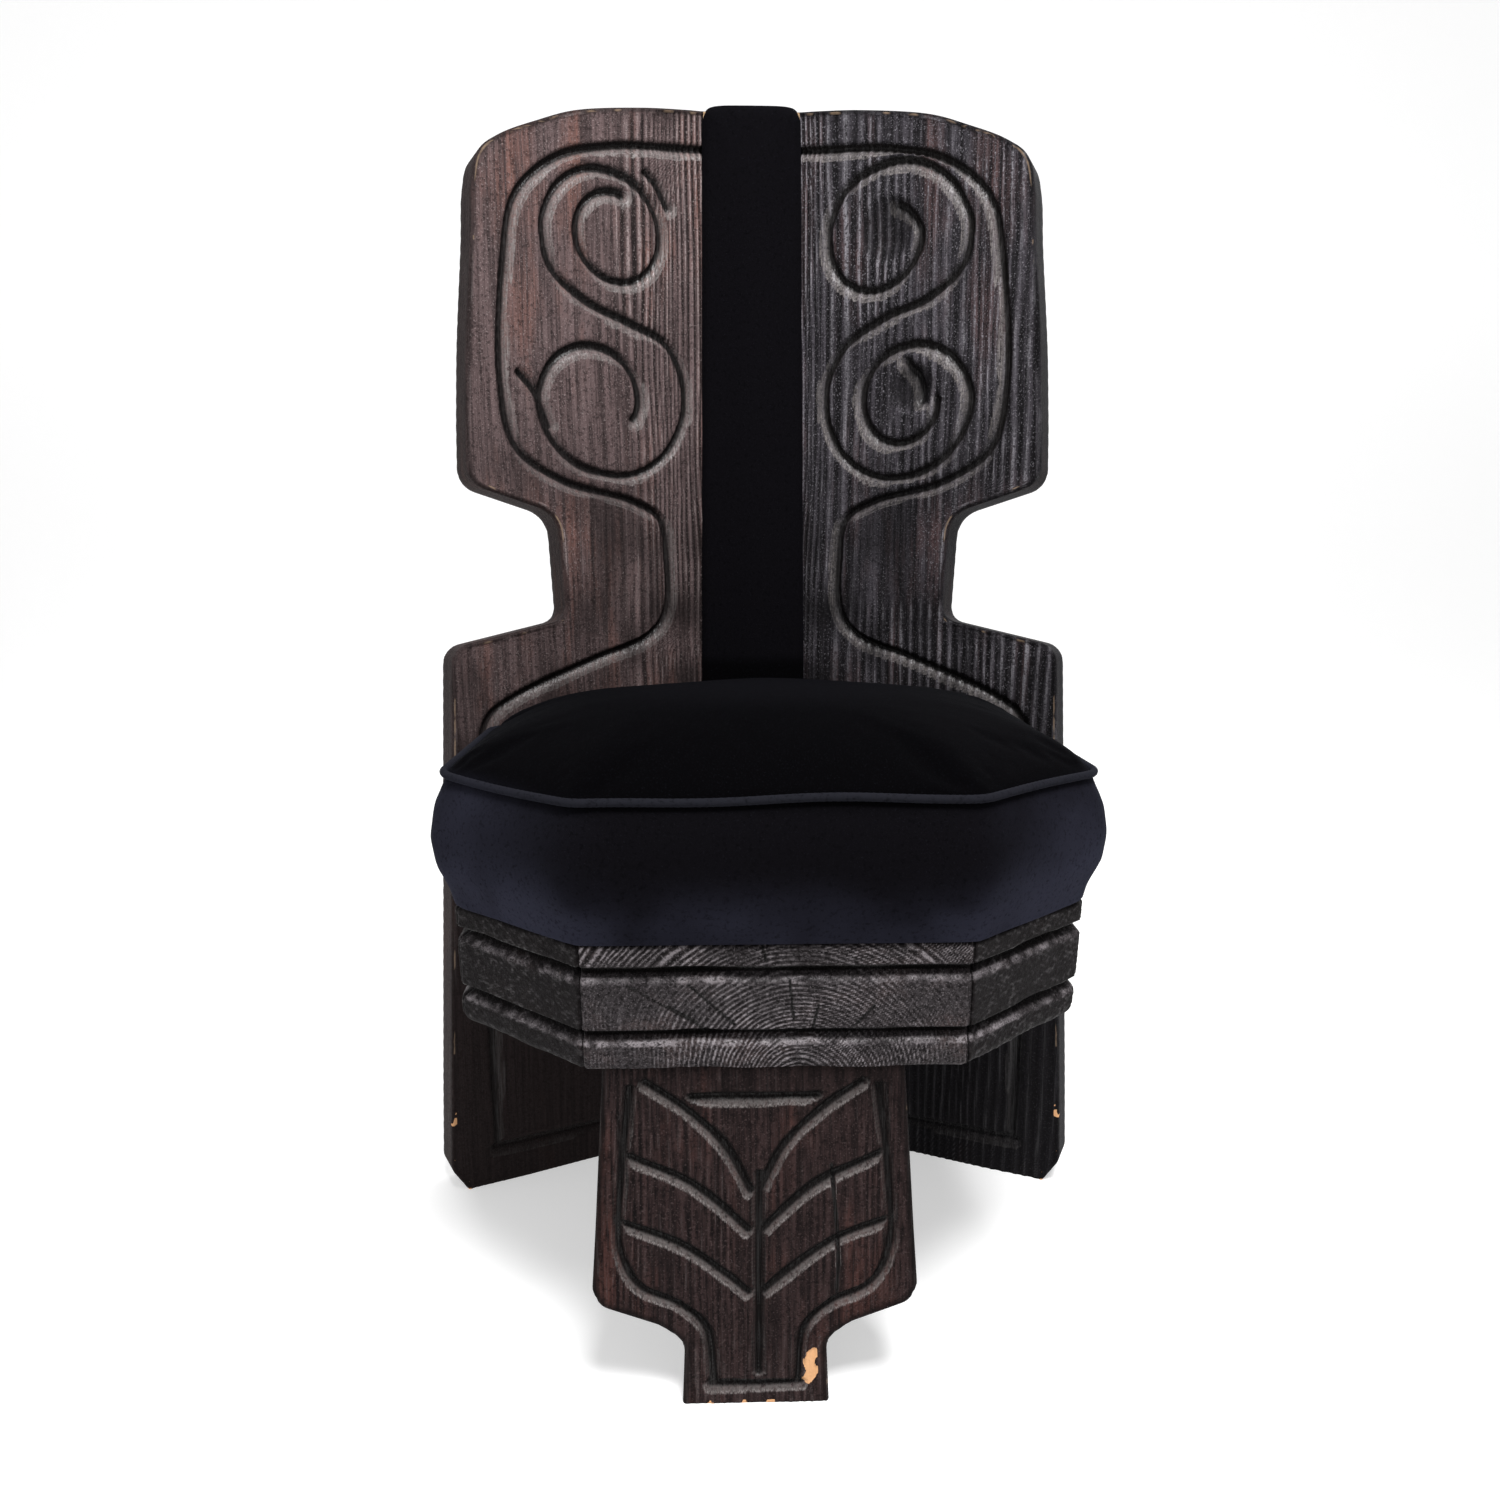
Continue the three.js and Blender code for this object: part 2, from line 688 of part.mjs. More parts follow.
// A tenon on its front end, and the mortise for it in the leg.
const tenon = (grow) => {
  const middle = braceMiddle / Math.cos(legRake);
  const half = [tenonThickness / 2 + grow, tenonHeight / 2 + grow];
  const x = braceX - legShift;
  return boxBetween(
    [x - half[0], legThickness - tenonLength - grow, middle - half[1]],
    [x + half[0], legThickness + 5, middle + half[1]],
  );
};
const tenonSolid = seenFrom(brace, tenon(0), leg);
brace.geometry = geometryOf(solid(brace.geometry).add(tenonSolid));
cut(frontLeg, tenon(touch), leg);

// One lag from behind through the post, and two screws up into the seat.
const postBack = planPoint(plankStart, flangeBack).y;
const lagFrame = frameIn(back, braceX, postBack - lagSeat, braceMiddle / Math.cos(recline));
lagFrame.rotation.x = -Math.PI / 2;
lagWithPlug(lagFrame, "spine_brace", braceLag, [spinePost, brace], lagSeat);

const pocketDepth = 52;
[-210, 20].forEach((y, i) => {
  const frame = frameIn(chair, braceX, y, braceTop - braceHeight + pocketDepth);
  frame.rotation.x = Math.PI;
  const hosts = [brace, timbers.centre];
  fasten(frame, `brace_screw_${i + 1}`, { ...cushionScrew, length: 70 }, hosts, pocketDepth);
});

// ---------------------------------------------------------------- the cushion
const cushionBase = seatTop + touch;
const seamZ = seatTop + weltHeight;
const cushionCorners = (distance) => {
  const rearGap = 4 + cushionOverhang;
  const corners = inset(seatCorners(seatTop + 40, -rearGap), distance - cushionOverhang);
  const radii = [26, 26, 34, 22, 60, 22, 34];
  const shrink = 1 - Math.max(distance, 0) / 175;
  return corners.map(([x, y], i) => [x, y, radii[i] * shrink]);
};
const cushionRing = (distance, z) => ringAt(filleted(cushionCorners(distance), 4), z);
const clearOfBack = behindStrip(1.2);
const boardTop = cushionBase + cushionBoardThickness;

// The outside of the cushion: [inwards, height] from the seat up the boxing, then over the dome.
const boxingProfile = [
  [4, cushionBase],
  [0, cushionBase + 12],
  [-cushionBulge * 0.8, cushionBase + 32],
  [-cushionBulge, cushionBase + 50],
  [-cushionBulge * 0.6, cushionBase + 72],
  [1, seamZ - weltRadius - 0.6],
];
const domeBase = seamZ + weltRadius + touch;
const domeReach = 165; // how far in from the seam the crown is flat
const domeProfile = [0, 0.04, 0.12, 0.25, 0.45, 0.7, 1].map((t) => {
  const rise = Math.sqrt(Math.sin((t * Math.PI) / 2)) * (seamZ + crownHeight - domeBase);
  return [2 + t * domeReach, domeBase + rise];
});
const layered = (profile, deeper = 0) =>
  stacked(profile.map(([distance, z]) => cushionRing(distance + deeper, z)));

const cushionBoard = piece(
  seat,
  "cushion_board",
  layered([[8, cushionBase], [8, boardTop]]),
  plywood,
);
cut(cushionBoard, clearOfBack, back);

const foamProfile = [
  [8, boardTop + touch],
  [4, cushionBase + 24],
  [-cushionBulge * 0.5, cushionBase + 45],
  [8, seamZ - 8],
  [9, seamZ + 2],
  ...domeProfile.slice(1).map(([distance, z]) => [distance + 6, z - 3]),
];
const cushionFoam = piece(seat, "cushion_foam", layered(foamProfile, 1), foam);
cut(cushionFoam, clearOfBack, back);

const boxing = piece(seat, "cushion_boxing", layered(boxingProfile), velvet);
const boxingInside = [
  [8 - touch, cushionBase - 5],
  [8 - touch, boardTop + 2],
  ...boxingProfile.slice(2, 5).map(([distance, z]) => [distance + velvetThickness, z]),
  [1 + velvetThickness, seamZ],
];
cut(boxing, layered(boxingInside), seat);
cut(boxing, clearOfBack, back);

const topPanel = piece(seat, "cushion_top_panel", layered(domeProfile), velvet);
const underPanel = [
  [5, domeBase - 5],
  ...domeProfile.map(([distance, z]) => [distance + 3, z - velvetThickness]),
];
cut(topPanel, layered(underPanel), seat);
cut(topPanel, clearOfBack, back);

// The piped welt round the top seam. Its ends meet at the middle of the rear.
const weltSection = new THREE.Shape(
  new THREE.EllipseCurve(0, 0, weltRadius, weltRadius, 0, 2 * Math.PI).getPoints(6).slice(0, 6),
);
function weltRoute() {
  const ring = cushionRing(weltRadius - 1, seamZ);
  const rear = ring.reduce((best, p, i) => (p.y > ring[best].y ? i : best), 0);
  const route = [...ring.slice(rear), ...ring.slice(0, rear)];
  const last = route[0].clone().lerp(route[route.length - 1], 0.2);
  return new THREE.CatmullRomCurve3([...route, last], false, "centripetal");
}
const welt = piece(
  seat,
  "cushion_welt",
  new THREE.ExtrudeGeometry(weltSection, { steps: 72, extrudePath: weltRoute() }),
  velvet,
);
cut(welt, behindStrip(touch), back);

// Screws up through the seat into the cushion's board, in deep counterbores.
const counterbore = seatThickness - 24;
const screwPlaces = {
  front_left: [-90, -190],
  front_right: [90, -190],
  rear_left: [-90, 20],
  rear_right: [90, 20],
};
for (const [place, [x, y]] of Object.entries(screwPlaces)) {
  const frame = frameIn(seat, x, y, seatUnderside + counterbore);
  frame.rotation.x = Math.PI;
  const hosts = [timbers.centre, cushionBoard];
  fasten(frame, `cushion_screw_${place}`, cushionScrew, hosts, counterbore);
}

// ---------------------------------------------------------------- origin
// The frame's origin is on the floor, under the middle of the chair's own box.
const extent = new THREE.Box3().setFromObject(chair, true);
const middle = extent.getCenter(new THREE.Vector3());
chair.position.set(-middle.x, -middle.y, 0);

export default chair;
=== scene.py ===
# %% [markdown]
# # A carved, charred chair
# Two thick planks stand in a shallow V and lean back: they are the chair's back and its rear legs.
# A grooved seat of three timbers hangs between them and a carved front leg, and carries a domed
# velvet cushion; a padded velvet strip fills the valley of the back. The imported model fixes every
# place and size, so this script loads it first and keeps its box to compare with the finished one.

# %% Load the frame
import json
import math

import bpy
import numpy as np
from mathutils import Euler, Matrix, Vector

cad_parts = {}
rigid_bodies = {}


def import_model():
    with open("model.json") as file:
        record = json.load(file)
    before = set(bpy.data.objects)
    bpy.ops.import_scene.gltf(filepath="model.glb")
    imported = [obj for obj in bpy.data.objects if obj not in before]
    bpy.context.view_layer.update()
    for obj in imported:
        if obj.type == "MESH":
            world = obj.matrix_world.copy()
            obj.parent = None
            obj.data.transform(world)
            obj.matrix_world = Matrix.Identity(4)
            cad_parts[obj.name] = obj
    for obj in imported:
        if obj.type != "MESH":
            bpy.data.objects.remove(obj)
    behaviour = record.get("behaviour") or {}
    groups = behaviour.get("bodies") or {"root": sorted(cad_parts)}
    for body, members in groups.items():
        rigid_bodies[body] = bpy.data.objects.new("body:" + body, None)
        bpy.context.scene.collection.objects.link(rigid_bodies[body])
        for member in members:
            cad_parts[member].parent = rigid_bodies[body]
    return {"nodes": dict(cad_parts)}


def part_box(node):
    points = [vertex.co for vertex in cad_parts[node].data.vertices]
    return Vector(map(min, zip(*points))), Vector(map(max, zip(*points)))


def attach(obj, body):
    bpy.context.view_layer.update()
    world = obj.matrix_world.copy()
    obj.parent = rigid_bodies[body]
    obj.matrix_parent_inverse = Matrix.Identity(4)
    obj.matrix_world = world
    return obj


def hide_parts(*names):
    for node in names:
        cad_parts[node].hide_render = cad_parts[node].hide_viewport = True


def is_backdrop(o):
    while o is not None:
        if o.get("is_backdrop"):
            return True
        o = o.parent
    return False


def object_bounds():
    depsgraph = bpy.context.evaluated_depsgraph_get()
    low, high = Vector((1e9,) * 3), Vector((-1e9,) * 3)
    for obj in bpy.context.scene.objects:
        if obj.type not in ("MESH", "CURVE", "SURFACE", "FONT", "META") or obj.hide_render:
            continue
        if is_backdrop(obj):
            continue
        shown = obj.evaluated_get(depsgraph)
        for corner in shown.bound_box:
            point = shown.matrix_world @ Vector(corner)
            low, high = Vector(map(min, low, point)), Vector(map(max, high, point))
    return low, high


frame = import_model()
cad_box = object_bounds()
MM = 0.001
print("nodes", len(frame["nodes"]), "box", [round(v, 3) for corner in cad_box for v in corner])

# %% [markdown]
# ## The camera
# The chair is seen from in front and a little above, from close by, so its front is larger than its
# back.

# %% The camera
camera = bpy.data.objects.new("camera", bpy.data.cameras.new("camera"))
bpy.context.scene.collection.objects.link(camera)
camera.data.lens = 27.6
camera.data.shift_x = -0.002
camera.data.shift_y = 0.1
camera.location = (-0.0335, -0.918, 0.575)
camera.rotation_euler = Euler((math.radians(90 - 17.5), 0, math.radians(-1.77)))
bpy.context.scene.camera = camera
print("camera at", tuple(round(value, 3) for value in camera.location))

# %% [markdown]
# ## Meshes, and the floor
# Every new surface here is a grid of points, so one function numbers a grid's faces and another makes
# the mesh. The floor is the first: a level strip that bends up into a wall without a corner, as the
# paper sweep of a studio does. It glows a little, so the chair's shadow on it stays pale.

# %% The floor
def grid_faces(rows, columns, closed_columns=False):
    """Quads that join a grid of rows by columns, numbered row by row."""
    across = columns if closed_columns else columns - 1
    row, column = np.meshgrid(np.arange(rows - 1), np.arange(across), indexing="ij")
    beside = (column + 1) % columns
    below, above = row * columns, (row + 1) * columns
    corners = [below + column, below + beside, above + beside, above + column]
    return np.stack(corners, axis=-1).reshape(-1, 4)


def add_mesh(name, points, faces, smooth=True):
    """A mesh object from an array of points in metres and a list of faces."""
    mesh = bpy.data.meshes.new(name)
    mesh.from_pydata(np.asarray(points, float).tolist(), [], [list(map(int, face)) for face in faces])
    mesh.polygons.foreach_set("use_smooth", np.full(len(mesh.polygons), smooth))
    mesh.update()
    made = bpy.data.objects.new(name, mesh)
    bpy.context.scene.collection.objects.link(made)
    return made


def floor_sweep(half_width=6.0, near=-8.0, bend_at=2.5, radius=1.5, height=7.0):
    """A strip in metres: level floor, a quarter circle, then a wall. The bend runs through
    (bend_at + radius sin t, radius - radius cos t)."""
    turn = np.linspace(0, np.pi / 2, 25)
    bend = np.stack([bend_at + radius * np.sin(turn), radius - radius * np.cos(turn)], axis=1)
    profile = np.concatenate([[[near, 0.0]], bend, [[bend_at + radius, height]]])
    points = [[x, y, z] for y, z in profile for x in (-half_width, half_width)]
    return add_mesh("studio_floor", points, grid_faces(len(profile), 2)[:, ::-1])


floor = floor_sweep()
floor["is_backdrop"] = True
print("floor faces", len(floor.data.polygons))

# %% [markdown]
# ## The lamps
# One broad lamp high in front of the chair models the carving: walls of a groove that look down stay
# dark. A weak one from the left softens its shadows, one behind draws the edges, and a pale world
# fills the rest.

# %% Lamps and world
def lamp(name, place, aim, size, power):
    """A square area lamp at a place, turned to look at a point."""
    light = bpy.data.lights.new(name, "AREA")
    light.size = size
    light.energy = power
    made = bpy.data.objects.new(name, light)
    made.location = place
    made.rotation_euler = (Vector(aim) - Vector(place)).to_track_quat("-Z", "Y").to_euler()
    bpy.context.scene.collection.objects.link(made)


chair_middle = (cad_box[0] + cad_box[1]) / 2
lamp("key_lamp", (0.35, -1.0, 2.7), chair_middle, 0.8, 92)
lamp("side_lamp", (-2.2, -0.6, 1.2), chair_middle, 1.2, 5)
lamp("rear_lamp", (1.2, 2.0, 1.9), chair_middle, 1.4, 16)
world = bpy.data.worlds.new("studio")
bpy.context.scene.world = world
world.use_nodes = True
sky = world.node_tree.nodes["Background"]
sky.inputs["Color"].default_value = (1, 1, 1, 1)
sky.inputs["Strength"].default_value = 0.42
bpy.context.scene.view_settings.view_transform = "Standard"

# %% [markdown]
# ## Writing materials as sums
# A wood finish is a sum of streaks, rings, stains and worn places. Wrapping a socket in a small
# class lets each be written as a Python expression, and one method adds any other node.

# %% The socket wrapper
class Wire:
    """An output socket whose operators add Math nodes."""

    def __init__(self, paint, socket):
        self.paint = paint
        self.socket = socket

    def math(self, operation, *values):
        return self.paint.node("ShaderNodeMath", {"operation": operation}, dict(enumerate(values)))

    def __add__(self, other):
        return self.math("ADD", self, other)

    def __sub__(self, other):
        return self.math("SUBTRACT", self, other)

    def __rsub__(self, other):
        return self.math("SUBTRACT", other, self)

    def __mul__(self, other):
        return self.math("MULTIPLY", self, other)

    __radd__ = __add__
    __rmul__ = __mul__

    def within(self, low, high):
        """0 below low, 1 above high, and smooth between them."""
        settings = {"interpolation_type": "SMOOTHSTEP"}
        return self.paint.node("ShaderNodeMapRange", settings, {"Value": self, 1: low, 2: high})


class Paint:
    """A material under construction."""

    def __init__(self, name, **constants):
        self.material = bpy.data.materials.new(name)
        self.material.use_nodes = True
        self.tree = self.material.node_tree
        self.shader = self.tree.nodes["Principled BSDF"]
        for socket, value in constants.items():
            self.shader.inputs[socket.replace("_", " ")].default_value = value

    def node(self, kind, settings=None, inputs=None, output=0):
        made = self.tree.nodes.new(kind)
        for key, value in (settings or {}).items():
            setattr(made, key, value)
        for key, value in (inputs or {}).items():
            self.feed(made.inputs[key], value)
        return Wire(self, made.outputs[output])

    def feed(self, socket, value):
        if isinstance(value, Wire):
            self.tree.links.new(value.socket, socket)
        else:
            socket.default_value = value

    def set(self, **sockets):
        for name, value in sockets.items():
            self.feed(self.shader.inputs[name.replace("_", " ")], value)

    def attribute(self, name, output="Fac"):
        return self.node("ShaderNodeAttribute", {"attribute_name": name}, output=output)

    def part(self, place, axis):
        return self.node("ShaderNodeSeparateXYZ", inputs={0: place}, output=axis)

    def noise(self, place, scale, detail=3.0, roughness=0.6):
        values = {"Vector": place, "Scale": scale, "Detail": detail, "Roughness": roughness}
        return self.node("ShaderNodeTexNoise", inputs=values)

    def stretched(self, place, factors, turn=(0, 0, 0)):
        return self.node("ShaderNodeMapping", inputs={"Vector": place, "Scale": factors, "Rotation": turn})

    def blend(self, share, low, high):
        colours = {0: share, 6: (*low, 1) if isinstance(low, tuple) else low}
        colours[7] = (*high, 1) if isinstance(high, tuple) else high
        return self.node("ShaderNodeMix", {"data_type": "RGBA"}, colours, output=2)

    def bump(self, height, distance, strength=1.0, below=None):
        values = {"Height": height, "Distance": distance, "Strength": strength}
        if below is not None:
            values["Normal"] = below
        return self.node("ShaderNodeBump", inputs=values)


floor_paint = Paint(
    "studio_white", Base_Color=(0.68, 0.68, 0.68, 1), Roughness=0.9,
    Emission_Color=(1, 1, 1, 1), Emission_Strength=0.48,
)
floor.data.materials.append(floor_paint.material)
print("materials so far", [material.name for material in bpy.data.materials])

# %% [markdown]
# ## The charred, brushed wood
# The softwood was scorched and wire-brushed. The soft part of each year's growth burns and brushes
# away, so the hard lines stand proud. They are painted paler, with a painted highlight where the wax
# shines on them, and the hollows are painted nearly black, char deepened by painted shade.
# The surfaces below carry attributes: `grain`, each point's place in its own board with the length
# along Z; `ridge`, how proud the grain stands; `carved`, how deep a point lies in a gouged line; and
# `worn`, how bare an edge is rubbed. The same material then suits every board, whichever way it lies.

# %% Charred wood
# The first colour is painted shade for the bottoms of grooves and checks and for groove walls that face away
# from the lamp; the second is painted light on the walls that face it.
RECESS_SHADE_BLACK = (0.003, 0.0022, 0.0022)
PAINTED_WALL_LIGHT = (0.2, 0.18, 0.175)
RUBBED = (0.33, 0.235, 0.16)
BARE = (0.66, 0.36, 0.18)


def charred_wood(name, dark, middle, light, warm, ridge_light=0.6, calm=0.15, turn=None):
    """Base colour: dark to middle by fine streaks, then light on the ridges, partly their own tone and partly
    a painted highlight, and warm in long stains; painted shade, nearly black, down the gouged lines, with
    painted light on the walls that face the lamp; pale where an edge is worn. calm is how far the streaks'
    darks lie towards middle. A piece without a grain attribute gives the turn that lays it along Z."""
    paint = Paint(name, Specular_IOR_Level=0.08, Coat_Roughness=0.36)
    if turn is None:
        place = paint.attribute("grain", "Vector")
    else:
        place = paint.stretched(paint.node("ShaderNodeTexCoord", output=3), (1, 1, 1), turn)
    drift = paint.noise(paint.stretched(place, (9, 9, 2.2)), 1.0, 2.0)
    sideways = paint.stretched(paint.node("ShaderNodeCombineXYZ", inputs={0: drift}), (0.016, 0, 0))
    wavy = paint.node("ShaderNodeVectorMath", {"operation": "ADD"}, {0: place, 1: sideways})
    streak = paint.noise(paint.stretched(wavy, (330, 330, 7)), 1.0, 3.0, 0.7)
    fine = paint.noise(paint.stretched(wavy, (1100, 1100, 24)), 1.0, 2.0, 0.7)
    stain = paint.noise(paint.stretched(place, (26, 26, 6.5)), 1.0, 3.0, 0.62)
    mottle = paint.noise(place, 420.0, 2.0, 0.6)
    speck = paint.noise(place, 760.0, 2.0, 0.6)
    ridge, carved, facing = (paint.attribute(key) for key in ("ridge", "carved", "facing"))

    # The burnt grain: streaks, stains, valleys painted black as char and painted shade, ridges painted light,
    # partly as a painted highlight, and specks of both.
    hollow = tuple(calm * bright + (1 - calm) * deep for deep, bright in zip(dark, middle))
    base = paint.blend(streak.within(0.36, 0.64), hollow, middle)
    base = paint.blend(stain.within(0.48, 0.72) * streak.within(0.3, 0.6) * 0.8, base, warm)
    base = paint.blend((1 - ridge.within(0.0, 0.45)) * 0.92, base, dark)
    # shine is a painted highlight on the proud grain and its fine streaks, over their own paler tone.
    shine = ridge.within(0.35, 1.0) * ridge_light + fine.within(0.48, 0.75) * 0.3
    shine = shine * stain.within(0.25, 0.6)
    base = paint.blend(shine.within(0.05, 1.0) * mottle.within(0.3, 0.62), base, light)
    base = paint.blend(mottle.within(0.5, 0.68) * 0.6, base, dark)
    base = paint.blend(speck.within(0.56, 0.72) * 0.3, base, light)

    # The gouged lines: painted light on the wall that faces the lamp, a painted glint on its lip, and painted
    # shade, nearly black, elsewhere.
    lip_glint = (carved.within(0.02, 0.1) - carved.within(0.16, 0.34)) * fine.within(0.42, 0.6)
    wall = (carved.within(0.02, 0.2) * 0.38 + lip_glint * 0.6) * facing.within(0.4, 0.95)
    base = paint.blend(wall * mottle.within(0.2, 0.6), base, PAINTED_WALL_LIGHT)
    base = paint.blend(carved.within(0.0, 0.4) * (1 - facing.within(0.25, 0.6)) * 0.95, base, RECESS_SHADE_BLACK)
    base = paint.blend(carved.within(0.42, 0.72) * 0.95, base, RECESS_SHADE_BLACK)

    # What came later, with painted shade: a darkening that is partly painted shadow, rubbed edges and chips
    # down to bare wood.
    base = paint.blend(paint.attribute("soot_and_shade") * 0.9, base, dark)
    base = paint.blend(paint.attribute("worn").within(0.35, 0.75), base, RUBBED)
    base = paint.blend(paint.attribute("raw").within(0.4, 0.6), base, BARE)
    bumped = paint.bump(streak * 0.6 + fine * 0.4, 0.0012, 0.75)
    paint.set(
        Base_Color=base,
        Roughness=0.74 - shine * 0.15 + mottle.within(0.4, 0.7) * 0.08,
        Coat_Weight=(ridge.within(0.5, 1.0) + carved.within(0.05, 0.3)) * fine.within(0.42, 0.6) * 0.31,
        Normal=paint.bump(mottle, 0.0009, 0.6, bumped),
    )
    return paint.material


left_wood = charred_wood(
    "charred_left_plank", calm=0.36, dark=(0.0085, 0.006, 0.006), middle=(0.115, 0.08, 0.08),
    light=(0.44, 0.36, 0.355), warm=(0.16, 0.072, 0.056),
)
right_wood = charred_wood(
    "charred_right_plank", dark=(0.003, 0.0026, 0.0032), middle=(0.05, 0.045, 0.053),
    light=(0.42, 0.4, 0.44), warm=(0.075, 0.037, 0.034),
)
seat_wood = charred_wood(
    "charred_seat", ridge_light=0.8, dark=(0.005, 0.004, 0.0042), middle=(0.038, 0.033, 0.035),
    light=(0.3, 0.27, 0.285), warm=(0.045, 0.032, 0.031),
)
leg_wood = charred_wood(
    "charred_leg", ridge_light=0.5, calm=0.25, dark=(0.0026, 0.0016, 0.0017),
    middle=(0.028, 0.0165, 0.0162), light=(0.12, 0.085, 0.083), warm=(0.06, 0.0245, 0.02),
)
plain_char = {
    "dark": (0.006, 0.005, 0.005), "middle": (0.036, 0.029, 0.028),
    "light": (0.12, 0.1, 0.1), "warm": (0.05, 0.03, 0.026),
}
frame_wood = charred_wood("charred_frame", turn=(0, 0, 0), **plain_char)
brace_wood = charred_wood("charred_brace", turn=(math.pi / 2, 0, 0), **plain_char)
print("wood finishes ready")

# %% [markdown]
# ## Curves and distances
# A board's outline is a few corners with their radii, and a gouged line is a few points on a smooth
# curve. Depth and wear depend on how far a point lies from such a line, so the distance is worked out
# for whole arrays at once.

# %% Outline, smooth line and distance
def rounded(corners, steps=8):
    """The corners (x, y, radius) of an open line, with the inner ones rounded by arcs."""
    corners = np.asarray(corners, float)
    line = [corners[0, :2]]
    for before, (x, y, radius), after in zip(corners[:-2], corners[1:-1], corners[2:]):
        here = np.array([x, y])
        if radius == 0:
            line.append(here)
            continue
        back = (before[:2] - here) / np.linalg.norm(before[:2] - here)
        ahead = (after[:2] - here) / np.linalg.norm(after[:2] - here)
        half = math.acos(float(np.clip(back @ ahead, -1, 1))) / 2
        middle = (back + ahead) / np.linalg.norm(back + ahead)
        centre = here + middle * radius / math.sin(half)
        first = here + back * radius / math.tan(half) - centre
        last = here + ahead * radius / math.tan(half) - centre
        angle = math.atan2(first[0] * last[1] - first[1] * last[0], first @ last)
        turns = np.linspace(0, angle, steps)
        cosine, sine = np.cos(turns), np.sin(turns)
        arc = np.stack([cosine * first[0] - sine * first[1], sine * first[0] + cosine * first[1]], axis=1)
        line.extend(centre + arc)
    line.append(corners[-1, :2])
    return np.array(line)


def even(line, spacing):
    """The same line with points at an even spacing."""
    line = np.asarray(line, float)
    along = np.concatenate([[0], np.cumsum(np.linalg.norm(np.diff(line, axis=0), axis=1))])
    places = np.linspace(0, along[-1], max(2, int(along[-1] / spacing) + 1))
    return np.stack([np.interp(places, along, line[:, k]) for k in range(line.shape[1])], axis=1)


def smooth_line(points, spacing=1.0):
    """A centripetal Catmull-Rom curve through the points: between two of them it is a blend of
    straight lines, timed by the square roots of the gaps."""
    points = np.asarray(points, float)
    ends = [2 * points[0] - points[1], *points, 2 * points[-1] - points[-2]]
    pieces = []
    for p0, p1, p2, p3 in zip(ends[:-3], ends[1:-2], ends[2:-1], ends[3:]):
        gaps = [np.linalg.norm(after - before) for before, after in ((p0, p1), (p1, p2), (p2, p3))]
        knots = np.cumsum([0] + [math.sqrt(max(gap, 1e-6)) for gap in gaps])
        t = np.linspace(knots[1], knots[2], 24)[:, None]
        a1 = ((knots[1] - t) * p0 + (t - knots[0]) * p1) / (knots[1] - knots[0])
        a2 = ((knots[2] - t) * p1 + (t - knots[1]) * p2) / (knots[2] - knots[1])
        a3 = ((knots[3] - t) * p2 + (t - knots[2]) * p3) / (knots[3] - knots[2])
        b1 = ((knots[2] - t) * a1 + (t - knots[0]) * a2) / (knots[2] - knots[0])
        b2 = ((knots[3] - t) * a2 + (t - knots[1]) * a3) / (knots[3] - knots[1])
        pieces.append(((knots[2] - t) * b1 + (t - knots[1]) * b2) / (knots[2] - knots[1]))
    return even(np.concatenate(pieces), spacing)


def nearest(points, line, block=4000):
    """For each point, the offset from the nearest point of a finely divided line."""
    offsets = np.empty(points.shape)
    for start in range(0, len(points), block):
        some = points[start:start + block]
        squares = (line**2).sum(1) - 2 * some @ line.T
        offsets[start:start + block] = some - line[squares.argmin(1)]
    return offsets


def distance(points, line):
    """How far each point is from the line."""
    return np.linalg.norm(nearest(points, line), axis=1)


def away(x, z, line):
    """The same for a grid of points."""
    return distance(np.stack([x.ravel(), z.ravel()], axis=1), line).reshape(x.shape)


def noise(x, y, seed):
    """Smooth noise from -1 to 1: random values on a unit lattice, eased between its corners."""
    column, row = np.floor(x), np.floor(y)
    fx, fy = x - column, y - row
    fx, fy = fx * fx * (3 - 2 * fx), fy * fy * (3 - 2 * fy)

    def corner(i, j):
        value = np.sin(i * 127.1 + j * 311.7 + seed * 74.7) * 43758.5453
        return 2 * (value - np.floor(value)) - 1

    low = corner(column, row) * (1 - fx) + corner(column + 1, row) * fx
    high = corner(column, row + 1) * (1 - fx) + corner(column + 1, row + 1) * fx
    return low * (1 - fy) + high * fy


def step(value, low, high):
    """0 below low, 1 above high, smooth between."""
    t = np.clip((value - low) / (high - low), 0, 1)
    return t * t * (3 - 2 * t)


print("a straight line divided", len(even([(0, 0), (0, 10)], 1.0)))

# %% [markdown]
# ## A carved board
# Each plank, and the leg, is a board with a wavy outline and a carved front. Its outline never
# doubles back in height, so the board is a stack of sections, each a closed loop: across the front,
# round one edge, back across the rear and round the other edge. The front's points are pushed in by
# what the carver and the brush took away: the rounded edge, the gouged lines and the hollows of the
# grain. The alternative, a flat board with bump, would leave the carving without a shape of its own.

# %% The board
# BEYOND holds the attributes' values on a board's sides and rear.
EDGE_STEPS = np.array([0.0, 0.5, 1.2, 2.2, 3.5, 5.5, 8.0])
FRONT_COLUMNS, SIDE_COLUMNS, BACK_COLUMNS, BACK_RADIUS = 132, 5, 15, 3.0
BEYOND = {"soot_and_shade": 0.82, "ridge": 0.35}


def columns_between(left, right, count):
    """Places from left to right in each row, close together at both edges and even between."""
    width = (right - left)[:, None]
    near = EDGE_STEPS * np.minimum(1, width / (4 * EDGE_STEPS[-1]))
    share = np.linspace(0, 1, count - 2 * len(EDGE_STEPS) + 2)[1:-1]
    inner = near[:, -1:] + (width - 2 * near[:, -1:]) * share
    return left[:, None] + np.concatenate([near, inner, width - near[:, ::-1]], axis=1)


